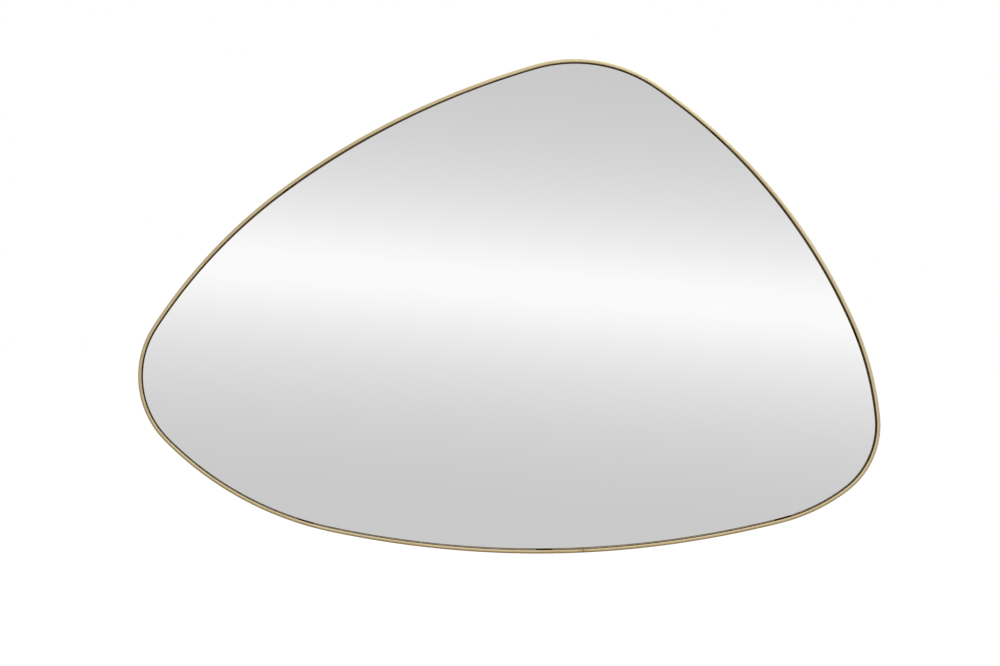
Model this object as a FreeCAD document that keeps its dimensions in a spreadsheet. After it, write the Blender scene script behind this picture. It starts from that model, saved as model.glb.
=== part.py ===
import FreeCAD, Part
import cmath
import math
import os
from collections import namedtuple

import Sketcher
from FreeCAD import Placement, Rotation, Vector

# Irregular shaped wall mirror: a pebble outline, wider than tall, in a slim brass hoop.
#
# A flat bar, bent on edge to the outline and closed by one brazed seam, carries eight brazed
# lugs. A black board is screwed to the lugs from behind, the glass is bonded to the board's
# front with strips of mounting tape, and two strap hangers with swinging D-rings, and four
# rubber bumpers, are on the board's back.
#
# Frame: X to the right and Z up as seen from the front, which faces -Y. The origin is on the
# wall plane, midway between the two wall hooks that the D-rings hang on.

# Driving dimensions, in millimetres and degrees: alias, value, what it measures.
# The outline is drawn about a datum: the middle of its width, and a level line through it.
SIZES = (
    ("overall_width", 900.0, "hoop, outside, left to right"),
    ("crown_height", 300.0, "top of the hoop above the datum line"),
    ("crown_offset", 80.0, "centre of the crown to the right of the datum"),
    ("crown_radius", 178.0, "outside of the hoop at the top"),
    ("right_corner_drop", 144.0, "centre of the right corner below the datum line"),
    ("right_corner_radius", 101.0, "outside of the hoop at the right"),
    ("left_corner_drop", 85.0, "centre of the left corner below the datum line"),
    ("left_corner_radius", 112.0, "outside of the hoop at the left"),
    ("right_ease_radius", 376.0, "arc that leaves the right corner upwards"),
    ("right_ease_turn", 18.0, "angle of that arc"),
    ("right_side_radius", 690.0, "long arc from there to the crown"),
    ("upper_side_radius", 966.0, "long arc that leaves the crown to the left"),
    ("upper_ease_radius", 641.0, "arc from there to the left corner"),
    ("upper_ease_turn", 20.7, "angle of that arc"),
    ("left_sweep_radius", 399.0, "arc that leaves the left corner along the bottom"),
    ("left_sweep_turn", 33.4, "angle of that arc"),
    ("bottom_radius", 1204.0, "long flat arc along the bottom"),
    ("heel_radius", 224.0, "arc from there to the right corner"),
    ("heel_turn", 22.8, "angle of that arc"),
    ("bar_thickness", 4.0, "flat bar, seen from the front"),
    ("hoop_depth", 25.0, "flat bar, front to back"),
    ("front_edge_radius", 1.0, "rounding of the bar's two front edges"),
    ("back_edge_break", 0.4, "chamfer of the bar's two back edges"),
    ("seam_offset", 90.0, "brazed seam to the right of the datum"),
    ("seam_width", 0.5, "dressed groove of the seam, across"),
    ("seam_depth", 0.3, "dressed groove of the seam, into the bar"),
    ("glass_recess", 4.0, "face of the glass behind the hoop's front"),
    ("glass_thickness", 4.0, "silvered float glass"),
    ("glass_gap", 1.6, "glass to hoop, all round"),
    ("glass_arris", 0.5, "ground edges of the glass"),
    ("tape_thickness", 1.0, "foam mounting tape"),
    ("tape_width", 25.0, "one strip of tape"),
    ("tape_side_gap", 145.0, "middle of an outer strip to the left or right end of the glass"),
    ("tape_end_gap", 40.0, "end of a strip to the glass's edge"),
    ("board_thickness", 9.0, "backing board"),
    ("board_gap", 1.0, "board to hoop, all round"),
    ("board_edge_break", 0.8, "chamfer of the board's back edge"),
    ("wall_gap", 1.0, "back of the hoop to the wall"),
    ("lug_start", 0.045, "first lug, as a share of the way round"),
    ("lug_thickness", 2.0, "flat lug"),
    ("lug_width", 20.0, "lug along the hoop, and its round tip"),
    ("lug_reach", 15.0, "hoop to the lug's hole"),
    ("lug_hole", 4.2, "hole in the lug, across"),
    ("braze_gap", 0.08, "filler between the lug and the hoop"),
    ("screw_shank", 3.5, "pan head screw, across the shank"),
    ("screw_length", 9.0, "pan head screw, under the head"),
    ("screw_point", 2.5, "tapered tip of the screw"),
    ("screw_head", 7.0, "pan head, across"),
    ("screw_head_height", 2.2, "pan head, to the top of its dome"),
    ("recess_span", 3.8, "cross recess, end to end"),
    ("recess_slot", 0.9, "cross recess, width of a slot"),
    ("recess_depth", 1.3, "cross recess, deep"),
    ("pilot_clearance", 0.05, "screw to the wall of its hole in the board"),
    ("pilot_run_out", 0.5, "hole in the board beyond the screw's tip"),
    ("hook_spacing", 400.0, "one wall hook to the other"),
    ("hook_rise", 170.0, "wall hooks above the balance point of the outline"),
    ("strap_thickness", 1.0, "hanger strap, sheet"),
    ("strap_width", 14.0, "hanger strap, across"),
    ("strap_length", 38.0, "hanger strap below the ring's bar"),
    ("strap_ply_gap", 0.1, "between the strap's two plies"),
    ("strap_neck_radius", 2.0, "bend where the plies close, to the middle of the sheet"),
    ("strap_corner_radius", 5.0, "corners at the strap's lower end"),
    ("strap_hole", 4.0, "screw hole in the strap, across"),
    ("strap_hole_drop", 12.0, "upper screw hole below the ring's bar"),
    ("strap_hole_pitch", 17.0, "one screw hole to the other"),
    ("ring_wire", 3.0, "D-ring wire, across"),
    ("ring_play", 0.1, "ring's bar to the inside of the loop"),
    ("ring_side_play", 1.5, "strap to the bend of the ring, each side"),
    ("ring_corner_radius", 4.0, "bends beside the bar, to the middle of the wire"),
    ("ring_leg", 2.0, "straight leg between a bend and the bow"),
    ("ring_rest_gap", 0.25, "resting ring to the board"),
    ("bumper_width", 14.0, "rubber bumper, across its foot"),
    ("bumper_taper", 1.5, "foot to face of the bumper, each side"),
    ("bumper_edge_radius", 1.0, "rounding of the bumper's face"),
    ("bumper_inset", 50.0, "hoop to the middle of a bumper"),
)

LUG_COUNT = 8
TAPE_COUNT = 5
# Directions from the datum line's right end, anticlockwise, in which the bumpers lie.
BUMPER_BEARINGS = {"upper_right": 62.0, "upper_left": 128.0, "lower_left": 232.0, "lower_right": 290.0}

size = {alias: value for alias, value, note in SIZES}

doc = FreeCAD.newDocument("irregular_mirror")
sheet = doc.addObject("Spreadsheet::Sheet", "Sizes")
for row, (alias, value, note) in enumerate(SIZES, start=1):
    sheet.set(f"A{row}", note)
    sheet.set(f"B{row}", str(value))
    sheet.setAlias(f"B{row}", alias)
doc.recompute()


def cells(expression):
    """Turn the aliases in an expression into references to the sheet."""
    words = expression.replace("(", "( ").replace(")", " )").split()
    return " ".join(f"Sizes.{word}" if word in size else word for word in words)


# ---------------------------------------------------------------- the outline

# One arc of the outline: its centre as x + iz about the datum, the direction of the outward
# normal where it starts, and how far that normal turns, both in radians, anticlockwise.
Arc = namedtuple("Arc", "name centre radius start turn")


def unit(angle):
    return cmath.exp(1j * angle)


def corner(name, x, z):
    return Arc(name, complex(x, z), size[f"{name}_radius"], 0.0, 0.0)


def side(leaving, reaching, names):
    """Arcs from one corner circle to the next, each tangent to its neighbours.

    The arcs that have a turn in the sheet keep it; the one without takes up the rest.
    """
    radii = [size[f"{name}_radius"] for name in names]
    turns = [math.radians(size.get(f"{name}_turn", 0.0)) for name in names]
    long_arc = next(i for i, name in enumerate(names) if f"{name}_turn" not in size)
    # The line between the corners is the sum of two vectors of known length: the steps
    # between centres before the long arc, and those after it.
    before, after, turned = 0, 0, 0.0
    for previous, radius, turn in zip([leaving.radius] + radii, radii[:long_arc + 1], turns):
        before += (previous - radius) * unit(turned)
        turned += turn
    turned = 0.0
    for i in range(len(names) - 1, long_arc - 1, -1):
        following = (radii + [reaching.radius])[i + 1]
        after += (radii[i] - following) * unit(-turned)
        turned += turns[i]
    line = reaching.centre - leaving.centre
    cosine = (abs(before)**2 + abs(line)**2 - abs(after)**2) / (2 * abs(before) * abs(line))
    first_step = abs(before) * unit(cmath.phase(line) + math.acos(cosine))
    start = cmath.phase(first_step / before)
    end = cmath.phase((line - first_step) / after)
    turns[long_arc] = (end - start) % math.tau - sum(turns)
    arcs, centre, radius_before = [], leaving.centre, leaving.radius
    for name, radius, turn in zip(names, radii, turns):
        centre += (radius_before - radius) * unit(start)
        arcs.append(Arc(name, centre, radius, start, turn))
        start += turn
        radius_before = radius
    return arcs


def outline():
    """The whole outer edge, anticlockwise, as ten arcs that join without a kink."""
    half_width = size["overall_width"] / 2
    right = corner("right_corner", half_width - size["right_corner_radius"], -size["right_corner_drop"])
    crown = corner("crown", size["crown_offset"], size["crown_height"] - size["crown_radius"])
    left = corner("left_corner", size["left_corner_radius"] - half_width, -size["left_corner_drop"])
    sides = (
        (right, crown, ["right_ease", "right_side"]),
        (crown, left, ["upper_side", "upper_ease"]),
        (left, right, ["left_sweep", "bottom", "heel"]),
    )
    runs = [side(*ends_and_names) for ends_and_names in sides]
    chain = []
    for run, following, (_, reaching, _) in zip(runs, runs[1:] + runs[:1], sides):
        start = run[-1].start + run[-1].turn
        turn = (following[0].start - start) % math.tau
        chain += run + [reaching._replace(start=start, turn=turn)]
    return chain


OUTLINE = outline()
CORNERS = ("right_corner", "crown", "left_corner")


def place_point(sketch, curve, point, x, y):
    """Dimension a point of a curve from the sketch's origin; return the constraints' numbers.

    x and y are values; each dimension is written the way round that keeps it positive.
    """
    numbers = []
    for kind, value, axis in (("DistanceX", x, -2), ("DistanceY", y, -1)):
        if abs(value) < 1e-9:
            sketch.addConstraint(Sketcher.Constraint("PointOnObject", curve, point, axis))
            numbers.append(None)
            continue
        ends = (-1, 1, curve, point) if value > 0 else (curve, point, -1, 1)
        numbers.append(sketch.addConstraint(Sketcher.Constraint(kind, *ends, abs(value))))
    return numbers


def bind(sketch, number, expression):
    if number is not None:
        sketch.setExpression(f"Constraints[{number}]", cells(expression))


def draw_outline(sketch, inset):
    """Draw the outline, moved inwards by an expression, with tangent ends all round."""
    inward = eval_size(inset)
    first = sketch.GeometryCount
    curves = []
    for arc in OUTLINE:
        circle = Part.Circle(Vector(arc.centre.real, arc.centre.imag, 0), Vector(0, 0, 1), arc.radius - inward)
        curves.append(Part.ArcOfCircle(circle, arc.start, arc.start + arc.turn))
    sketch.addGeometry(curves, False)
    count = len(OUTLINE)
    for i in range(count):
        sketch.addConstraint(Sketcher.Constraint("Tangent", first + i, 2, first + (i + 1) % count, 1))
    for i, arc in enumerate(OUTLINE):
        number = sketch.addConstraint(Sketcher.Constraint("Radius", first + i, arc.radius - inward))
        bind(sketch, number, f"{arc.name}_radius - ( {inset} )")
        if f"{arc.name}_turn" in size:
            number = sketch.addConstraint(Sketcher.Constraint("Angle", first + i, arc.turn))
            bind(sketch, number, f"{arc.name}_turn * 1 deg")
        if arc.name in CORNERS:
            numbers = place_point(sketch, first + i, 3, arc.centre.real, arc.centre.imag)
            if arc.name == "crown":
                bind(sketch, numbers[0], "crown_offset")
                bind(sketch, numbers[1], "crown_height - crown_radius")
            else:
                bind(sketch, numbers[0], f"overall_width / 2 - {arc.name}_radius")
                bind(sketch, numbers[1], f"{arc.name}_drop")


def eval_size(expression):
    """The value of a sum or difference of sizes, such as 'bar_thickness + glass_gap'."""
    total, sign = 0.0, 1
    for word in expression.split():
        if word in "+-":
            sign = 1 if word == "+" else -1
        else:
            total += sign * (size[word] if word in size else float(word))
    return total


def station(share, inset):
    """The point a share of the way round, moved inwards, with its arc and outward direction."""
    lengths = [arc.radius * arc.turn for arc in OUTLINE]
    along = (share % 1.0) * sum(lengths)
    for arc, length in zip(OUTLINE, lengths):
        if along <= length:
            angle = arc.start + along / arc.radius
            return arc, angle, arc.centre + (arc.radius - inset) * unit(angle)
        along -= length
    raise ValueError(share)


def facing(bearing, inset):
    """The point of the outline whose outward normal has this bearing, moved inwards."""
    for arc in OUTLINE:
        if (math.radians(bearing) - arc.start) % math.tau <= arc.turn:
            return arc.centre + (arc.radius - inset) * unit(math.radians(bearing))
    raise ValueError(bearing)


def outline_wire(inset):
    edges = []
    for arc in OUTLINE:
        circle = Part.Circle(Vector(arc.centre.real, arc.centre.imag, 0), Vector(0, 0, 1), arc.radius - inset)
        edges.append(circle.toShape(arc.start, arc.start + arc.turn))
    return Part.Wire(edges)


# ---------------------------------------------------------------- places

balance = Part.Face(outline_wire(0.0)).CenterOfMass
HOOK_DATUM = complex(balance.x, balance.y + size["hook_rise"])

BACK_OF_HOOP = -size["wall_gap"]
FRONT_OF_HOOP = BACK_OF_HOOP - size["hoop_depth"]
BACK_OF_GLASS = FRONT_OF_HOOP + size["glass_recess"] + size["glass_thickness"]
FRONT_OF_BOARD = BACK_OF_GLASS + size["tape_thickness"]
BACK_OF_BOARD = FRONT_OF_BOARD + size["board_thickness"]
BACK_OF_LUG = BACK_OF_BOARD + size["lug_thickness"]

PIVOT_HEIGHT = size["strap_thickness"] + size["ring_play"] + size["ring_wire"] / 2
STRAP_STACK = 2 * size["strap_thickness"] + size["strap_ply_gap"]
BAR_HALF = size["strap_width"] / 2 + size["ring_side_play"]
BOW_RADIUS = BAR_HALF + size["ring_corner_radius"]
RING_HEIGHT = size["ring_corner_radius"] + size["ring_leg"] + BOW_RADIUS
RING_LEAN = math.asin((PIVOT_HEIGHT - size["ring_wire"] / 2 - size["ring_rest_gap"]) / RING_HEIGHT)
RING_DROP = (RING_HEIGHT - size["ring_wire"] / 2) * math.cos(RING_LEAN)


def in_frame(point, y):
    """A point of the outline's plane, at a depth, in the mirror's own frame."""
    return Vector(point.real - HOOK_DATUM.real, y, point.imag - HOOK_DATUM.imag)


def lug_stations():
    return [station(size["lug_start"] + i / LUG_COUNT, size["bar_thickness"] + size["lug_reach"])
            for i in range(LUG_COUNT)]


def strap_holes(x):
    """The two screw places of a hanger, about the outline's datum."""
    pivot_z = HOOK_DATUM.imag - RING_DROP
    return [complex(x + HOOK_DATUM.real, pivot_z - size["strap_hole_drop"] - i * size["strap_hole_pitch"])
            for i in range(2)]


HANGERS = {"left": -size["hook_spacing"] / 2, "right": size["hook_spacing"] / 2}


# ---------------------------------------------------------------- making bodies

nodes = []


def new_body(label):
    body = doc.addObject("PartDesign::Body", label)
    body.Label = label
    return body


def new_node(label, place):
    body = new_body(label)
    body.Placement = place
    nodes.append(body)
    return body


def new_sketch(body, name, role, offset=0.0):
    """A sketch on one of the body's own planes, or parallel to it at an offset."""
    sketch = body.newObject("Sketcher::SketchObject", f"{body.Name}_{name}")
    plane = next(f for f in body.Origin.OriginFeatures if f.Role == role)
    sketch.AttachmentSupport = [(plane, "")]
    sketch.MapMode = "FlatFace"
    if offset:
        sketch.AttachmentOffset = Placement(Vector(0, 0, offset), Rotation())
    return sketch


def add_feature(body, kind, name, **properties):
    feature = body.newObject(f"PartDesign::{kind}", f"{body.Name}_{name}")
    for key, value in properties.items():
        setattr(feature, key, value)
    return feature


def pad(body, name, sketch, length):
    feature = add_feature(body, "Pad", name, Profile=sketch)
    feature.setExpression("Length", cells(length))
    doc.recompute()
    return feature


def cut(body, name, sketch, **properties):
    """A pocket that has to take material away."""
    before = body.Shape.Volume
    expression = properties.pop("length", None)
    feature = add_feature(body, "Pocket", name, Profile=sketch, **properties)
    if expression:
        feature.setExpression("Length", cells(expression))
    doc.recompute()
    if not body.Shape.Volume < before:
        raise RuntimeError(f"{feature.Name} cuts nothing")
    return feature


def edges_at(feature, y):
    """Names of the edges of a shape that lie in the plane at this depth."""
    names = []
    for i, edge in enumerate(feature.Shape.Edges, start=1):
        box = edge.BoundBox
        if abs(box.YMin - y) < 1e-6 and abs(box.YMax - y) < 1e-6:
            names.append(f"Edge{i}")
    return names


def dress(body, kind, name, edges, size_property, expression):
    feature = add_feature(body, kind, name, Base=(body.Tip, edges))
    feature.setExpression(size_property, cells(expression))
    doc.recompute()
    return feature


# ---------------------------------------------------------------- hoop, glass, board

def make_hoop():
    """Flat bar bent to the outline, rounded in front, with the seam dressed as a fine groove."""
    body = new_node("frame_hoop", Placement(in_frame(0j, BACK_OF_HOOP), Rotation()))
    sketch = new_sketch(body, "section", "XZ_Plane")
    draw_outline(sketch, "0")
    draw_outline(sketch, "bar_thickness")
    bar = pad(body, "bar", sketch, "hoop_depth")
    front = edges_at(bar, -size["hoop_depth"])
    dress(body, "Fillet", "front_edges", front, "Radius", "front_edge_radius")
    back = edges_at(body.Tip, 0.0)
    dress(body, "Chamfer", "back_edges", back, "Size", "back_edge_break")

    bottom = next(arc for arc in OUTLINE if arc.name == "bottom")
    lean = math.asin((size["seam_offset"] - bottom.centre.real) / bottom.radius)
    across = unit(lean)
    surface = bottom.centre - 1j * across * bottom.radius
    half = size["seam_width"] / 2
    corners = [surface - half * across * 2 - 1j * across * half,
               surface + half * across * 2 - 1j * across * half,
               surface + 1j * across * size["seam_depth"]]
    groove = new_sketch(body, "seam", "XZ_Plane")
    for a, b in zip(corners, corners[1:] + corners[:1]):
        groove.addGeometry(Part.LineSegment(Vector(a.real, a.imag, 0), Vector(b.real, b.imag, 0)), False)
    for i, point in enumerate(corners):
        groove.addConstraint(Sketcher.Constraint("Coincident", i, 2, (i + 1) % 3, 1))
        place_point(groove, i, 1, point.real, point.imag)
    cut(body, "seam_groove", groove, Type="ThroughAll", Reversed=True)


def make_glass():
    """Silvered glass, set back in the hoop, with ground edges."""
    body = new_node("mirror_glass", Placement(in_frame(0j, BACK_OF_GLASS), Rotation()))
    sketch = new_sketch(body, "outline", "XZ_Plane")
    draw_outline(sketch, "bar_thickness + glass_gap")
    pane = pad(body, "pane", sketch, "glass_thickness")
    rims = edges_at(pane, 0.0) + edges_at(pane, -size["glass_thickness"])
    dress(body, "Chamfer", "arris", rims, "Size", "glass_arris")


def make_board():
    """Backing board with a pilot hole for each screw."""
    body = new_node("backing_board", Placement(in_frame(0j, BACK_OF_BOARD), Rotation()))
    sketch = new_sketch(body, "outline", "XZ_Plane")
    draw_outline(sketch, "bar_thickness + board_gap")
    board = pad(body, "board", sketch, "board_thickness")
    dress(body, "Chamfer", "back_edge", edges_at(board, 0.0), "Size", "board_edge_break")

    holes = new_sketch(body, "pilots", "XZ_Plane")
    radius = size["screw_shank"] / 2 + size["pilot_clearance"]
    for i, point in enumerate(screw_points()):
        holes.addGeometry(Part.Circle(Vector(point.real, point.imag, 0), Vector(0, 0, 1), radius), False)
        place_point(holes, i, 3, point.real, point.imag)
        number = holes.addConstraint(Sketcher.Constraint("Radius", i, radius))
        bind(holes, number, "screw_shank / 2 + pilot_clearance")
    cut(body, "pilot_holes", holes, Reversed=True, length="screw_length - lug_thickness + pilot_run_out")


def screw_points():
    lugs = [place for arc, angle, place in lug_stations()]
    straps = [hole for x in HANGERS.values() for hole in strap_holes(x)]
    return lugs + straps


def make_tapes():
    """Upright strips of mounting tape, each as long as the glass allows where it is."""
    inset = size["bar_thickness"] + size["glass_gap"]
    rim = outline_wire(inset + size["tape_end_gap"])
    reach = size["overall_width"]
    outermost = size["overall_width"] / 2 - inset - size["tape_side_gap"]
    for i in range(TAPE_COUNT):
        x = outermost * (2 * i / (TAPE_COUNT - 1) - 1)
        ends = []
        for edge_x in (x - size["tape_width"] / 2, x + size["tape_width"] / 2):
            upright = Part.makeLine(Vector(edge_x, -reach, 0), Vector(edge_x, reach, 0))
            heights = sorted(v.Point.y for v in Part.Face(rim).common(upright).Vertexes)
            ends.append((heights[0], heights[-1]))
        low, high = max(e[0] for e in ends), min(e[1] for e in ends)
        strip = doc.addObject("Part::Box", f"mounting_tape_{i + 1}")
        strip.Label = f"mounting_tape_{i + 1}"
        strip.setExpression("Length", cells("tape_width"))
        strip.setExpression("Width", cells("tape_thickness"))
        strip.Height = high - low
        strip.Placement = Placement(in_frame(complex(x - size["tape_width"] / 2, low), BACK_OF_GLASS), Rotation())
        nodes.append(strip)


# ---------------------------------------------------------------- lugs and screws

def make_lug(number, arc, angle):
    """Flat tongue brazed to the inside of the hoop.

    It is drawn about the centre of its arc of the hoop, so that its outer edge follows the bar.
    """
    inset = "bar_thickness + braze_gap"
    place = Placement(in_frame(arc.centre, BACK_OF_BOARD), Rotation(Vector(0, -1, 0), math.degrees(angle)))
    body = new_node(f"fixing_lug_{number}", place)
    outer = arc.radius - eval_size(inset)
    tip = arc.radius - size["bar_thickness"] - size["lug_reach"]
    half = size["lug_width"] / 2
    spread = math.asin(half / outer)
    root = outer * math.cos(spread)
    up = Vector(0, 0, 1)
    sketch = new_sketch(body, "shape", "XZ_Plane")
    sketch.addGeometry([
        Part.ArcOfCircle(Part.Circle(Vector(), up, outer), -spread, spread),
        Part.LineSegment(Vector(root, half, 0), Vector(tip, half, 0)),
        Part.ArcOfCircle(Part.Circle(Vector(tip, 0, 0), up, half), math.pi / 2, 3 * math.pi / 2),
        Part.LineSegment(Vector(tip, -half, 0), Vector(root, -half, 0)),
        Part.Circle(Vector(tip, 0, 0), up, size["lug_hole"] / 2),
    ], False)
    edge, top, tongue, bottom, hole = range(5)
    for rule in (
        ("Coincident", edge, 3, -1, 1),
        ("Coincident", edge, 2, top, 1),
        ("Coincident", bottom, 2, edge, 1),
        ("Tangent", top, 2, tongue, 1),
        ("Tangent", tongue, 2, bottom, 1),
        ("Horizontal", top),
        ("Horizontal", bottom),
        ("PointOnObject", tongue, 3, -1),
        ("Coincident", hole, 3, tongue, 3),
    ):
        sketch.addConstraint(Sketcher.Constraint(*rule))
    bound = (
        (("Radius", edge, outer), f"{arc.name}_radius - ( {inset} )"),
        (("Radius", tongue, half), "lug_width / 2"),
        (("Radius", hole, size["lug_hole"] / 2), "lug_hole / 2"),
        (("DistanceX", -1, 1, tongue, 3, tip), f"{arc.name}_radius - bar_thickness - lug_reach"),
    )
    for rule, expression in bound:
        bind(sketch, sketch.addConstraint(Sketcher.Constraint(*rule)), expression)
    feature = pad(body, "plate", sketch, "lug_thickness")
    feature.Reversed = True
    doc.recompute()


def make_screw():
    """Pan head screw with a cross recess, its head's seat on the local XZ plane."""
    body = new_body("pan_head_screw")
    shank, head = size["screw_shank"] / 2, size["screw_head"] / 2
    length, rise = size["screw_length"], size["screw_head_height"]
    rim = rise / 3
    # The dome passes through the rim of the head and its highest point, on the axis.
    dome = (head**2 + (rise - rim)**2) / (2 * (rise - rim))
    half_angle = math.asin(head / dome)
    sketch = new_sketch(body, "profile", "XY_Plane")
    dome_circle = Part.Circle(Vector(0, rise - dome, 0), Vector(0, 0, 1), dome)
    points = [Vector(0, -length, 0), Vector(shank, size["screw_point"] - length, 0), Vector(shank, 0, 0),
              Vector(head, 0, 0), Vector(head, rim, 0)]
    lines = [Part.LineSegment(a, b) for a, b in zip(points, points[1:])]
    arc = Part.ArcOfCircle(dome_circle, math.pi / 2 - half_angle, math.pi / 2)
    axis = Part.LineSegment(Vector(0, rise, 0), Vector(0, -length, 0))
    sketch.addGeometry(lines + [arc, axis], False)
    point, wall, seat, edge, top, middle = range(6)
    for rule in (
        ("Coincident", point, 2, wall, 1),
        ("Coincident", wall, 2, seat, 1),
        ("Coincident", seat, 2, edge, 1),
        ("Coincident", edge, 2, top, 1),
        ("Coincident", top, 2, middle, 1),
        ("Coincident", middle, 2, point, 1),
        ("PointOnObject", top, 3, -2),
        ("PointOnObject", seat, 1, -1),
        ("PointOnObject", middle, 1, -2),
        ("PointOnObject", middle, 2, -2),
        ("Vertical", wall),
        ("Horizontal", seat),
        ("Vertical", edge),
    ):
        sketch.addConstraint(Sketcher.Constraint(*rule))
    bound = (
        (("DistanceX", -1, 1, wall, 2, shank), "screw_shank / 2"),
        (("DistanceX", -1, 1, edge, 1, head), "screw_head / 2"),
        (("DistanceY", -1, 1, middle, 1, rise), "screw_head_height"),
        (("DistanceY", edge, 1, edge, 2, rim), "screw_head_height / 3"),
        (("DistanceY", middle, 2, -1, 1, length), "screw_length"),
        (("DistanceY", middle, 2, wall, 1, size["screw_point"]), "screw_point"),
    )
    for rule, expression in bound:
        bind(sketch, sketch.addConstraint(Sketcher.Constraint(*rule)), expression)
    add_feature(body, "Revolution", "turned", Profile=sketch, ReferenceAxis=(sketch, ["V_Axis"]), Angle=360.0)
    doc.recompute()

    recess = new_sketch(body, "recess", "XZ_Plane", -rise)
    span, slot = size["recess_span"] / 2, size["recess_slot"] / 2
    quarter = [complex(span, -slot), complex(span, slot), complex(slot, slot)]
    cross = [point * 1j**turn for turn in range(4) for point in quarter]
    for i, (a, b) in enumerate(zip(cross, cross[1:] + cross[:1])):
        recess.addGeometry(Part.LineSegment(Vector(a.real, a.imag, 0), Vector(b.real, b.imag, 0)), False)
    for i, point in enumerate(cross):
        recess.addConstraint(Sketcher.Constraint("Coincident", i, 2, (i + 1) % len(cross), 1))
        place_point(recess, i, 1, point.real, point.imag)
    cut(body, "cross_recess", recess, Reversed=True, length="recess_depth")
    return body


def place_screws(label, master, places):
    """One node that holds a group of equal screws."""
    group = doc.addObject("Part::Feature", label)
    group.Label = label
    copies = []
    for place in places:
        copy = master.Shape.copy()
        copy.Placement = Placement(place, Rotation())
        copies.append(copy)
    group.Shape = Part.makeCompound(copies)
    group.Placement = Placement()
    nodes.append(group)


# ---------------------------------------------------------------- hangers

def make_strap(name, x):
    """Sheet strap folded in two round the ring's bar, about the bar's axis."""
    place = Placement(Vector(x, BACK_OF_BOARD + PIVOT_HEIGHT, -RING_DROP), Rotation())
    body = new_node(f"hanger_strap_{name}", place)
    thick = size["strap_thickness"]
    loop = PIVOT_HEIGHT - thick / 2
    front_ply = -loop
    back_ply = front_ply + thick + size["strap_ply_gap"]
    neck = size["strap_neck_radius"]
    close = math.acos((back_ply + neck) / (loop + neck))
    neck_centre = (loop + neck) * cmath.exp(-1j * close)
    joint = loop * cmath.exp(-1j * close)
    length = size["strap_length"]
    up = Vector(0, 0, 1)
    path = new_sketch(body, "fold", "YZ_Plane")
    path.addGeometry([
        Part.LineSegment(Vector(front_ply, -length, 0), Vector(front_ply, 0, 0)),
        Part.ArcOfCircle(Part.Circle(Vector(), up, loop), -close, math.pi),
        Part.ArcOfCircle(Part.Circle(Vector(neck_centre.real, neck_centre.imag, 0), up, neck),
                         math.pi - close, math.pi),
        Part.LineSegment(Vector(back_ply, neck_centre.imag, 0), Vector(back_ply, -length, 0)),
    ], False)
    first, eye, throat, second = range(4)
    for rule in (
        ("Coincident", eye, 3, -1, 1),
        ("Tangent", first, 2, eye, 2),
        ("Tangent", eye, 1, throat, 1),
        ("Tangent", throat, 2, second, 1),
        ("Vertical", first),
        ("Vertical", second),
    ):
        path.addConstraint(Sketcher.Constraint(*rule))
    bound = (
        (("Radius", eye, loop), "strap_thickness / 2 + ring_play + ring_wire / 2"),
        (("Radius", throat, neck), "strap_neck_radius"),
        (("DistanceX", first, 1, second, 2, back_ply - front_ply), "strap_thickness + strap_ply_gap"),
        (("DistanceY", first, 1, -1, 1, length), "strap_length"),
        (("DistanceY", second, 2, -1, 1, length), "strap_length"),
    )
    for rule, expression in bound:
        bind(path, path.addConstraint(Sketcher.Constraint(*rule)), expression)

    section = new_sketch(body, "section", "XY_Plane", -length)
    section.setExpression("AttachmentOffset.Base.z", cells("-1 * strap_length"))
    half = size["strap_width"] / 2
    corners = [Vector(-half, front_ply - thick / 2, 0), Vector(half, front_ply - thick / 2, 0),
               Vector(half, front_ply + thick / 2, 0), Vector(-half, front_ply + thick / 2, 0)]
    for a, b in zip(corners, corners[1:] + corners[:1]):
        section.addGeometry(Part.LineSegment(a, b), False)
    for i in range(4):
        section.addConstraint(Sketcher.Constraint("Coincident", i, 2, (i + 1) % 4, 1))
        section.addConstraint(Sketcher.Constraint("Horizontal" if i % 2 == 0 else "Vertical", i))
    bound = (
        (("DistanceX", 0, 1, -1, 1, half), "strap_width / 2"),
        (("DistanceX", -1, 1, 0, 2, half), "strap_width / 2"),
        (("DistanceY", 0, 1, -1, 1, PIVOT_HEIGHT), "strap_thickness + ring_play + ring_wire / 2"),
        (("DistanceY", 1, 1, 1, 2, thick), "strap_thickness"),
    )
    for rule, expression in bound:
        bind(section, section.addConstraint(Sketcher.Constraint(*rule)), expression)
    doc.recompute()
    add_feature(body, "AdditivePipe", "folded_strip", Profile=section, Spine=(path, ["Edge1"]))
    body.Tip.Spine = (path, [f"Edge{i + 1}" for i in range(4)])
    doc.recompute()

    ends = [f"Edge{i}" for i, edge in enumerate(body.Tip.Shape.Edges, start=1)
            if abs(edge.BoundBox.ZMax + length) < 1e-6 and edge.BoundBox.XLength < 1e-6]
    dress(body, "Fillet", "end_corners", ends, "Radius", "strap_corner_radius")

    holes = new_sketch(body, "screw_holes", "XZ_Plane")
    for i, drop in enumerate(("strap_hole_drop", "strap_hole_drop + strap_hole_pitch")):
        centre = Vector(0, -eval_size(drop), 0)
        holes.addGeometry(Part.Circle(centre, up, size["strap_hole"] / 2), False)
        holes.addConstraint(Sketcher.Constraint("PointOnObject", i, 3, -2))
        number = holes.addConstraint(Sketcher.Constraint("DistanceY", i, 3, -1, 1, -centre.y))
        bind(holes, number, drop)
        number = holes.addConstraint(Sketcher.Constraint("Radius", i, size["strap_hole"] / 2))
        bind(holes, number, "strap_hole / 2")
    cut(body, "screw_holes", holes, Type="ThroughAll", Midplane=True)


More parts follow.
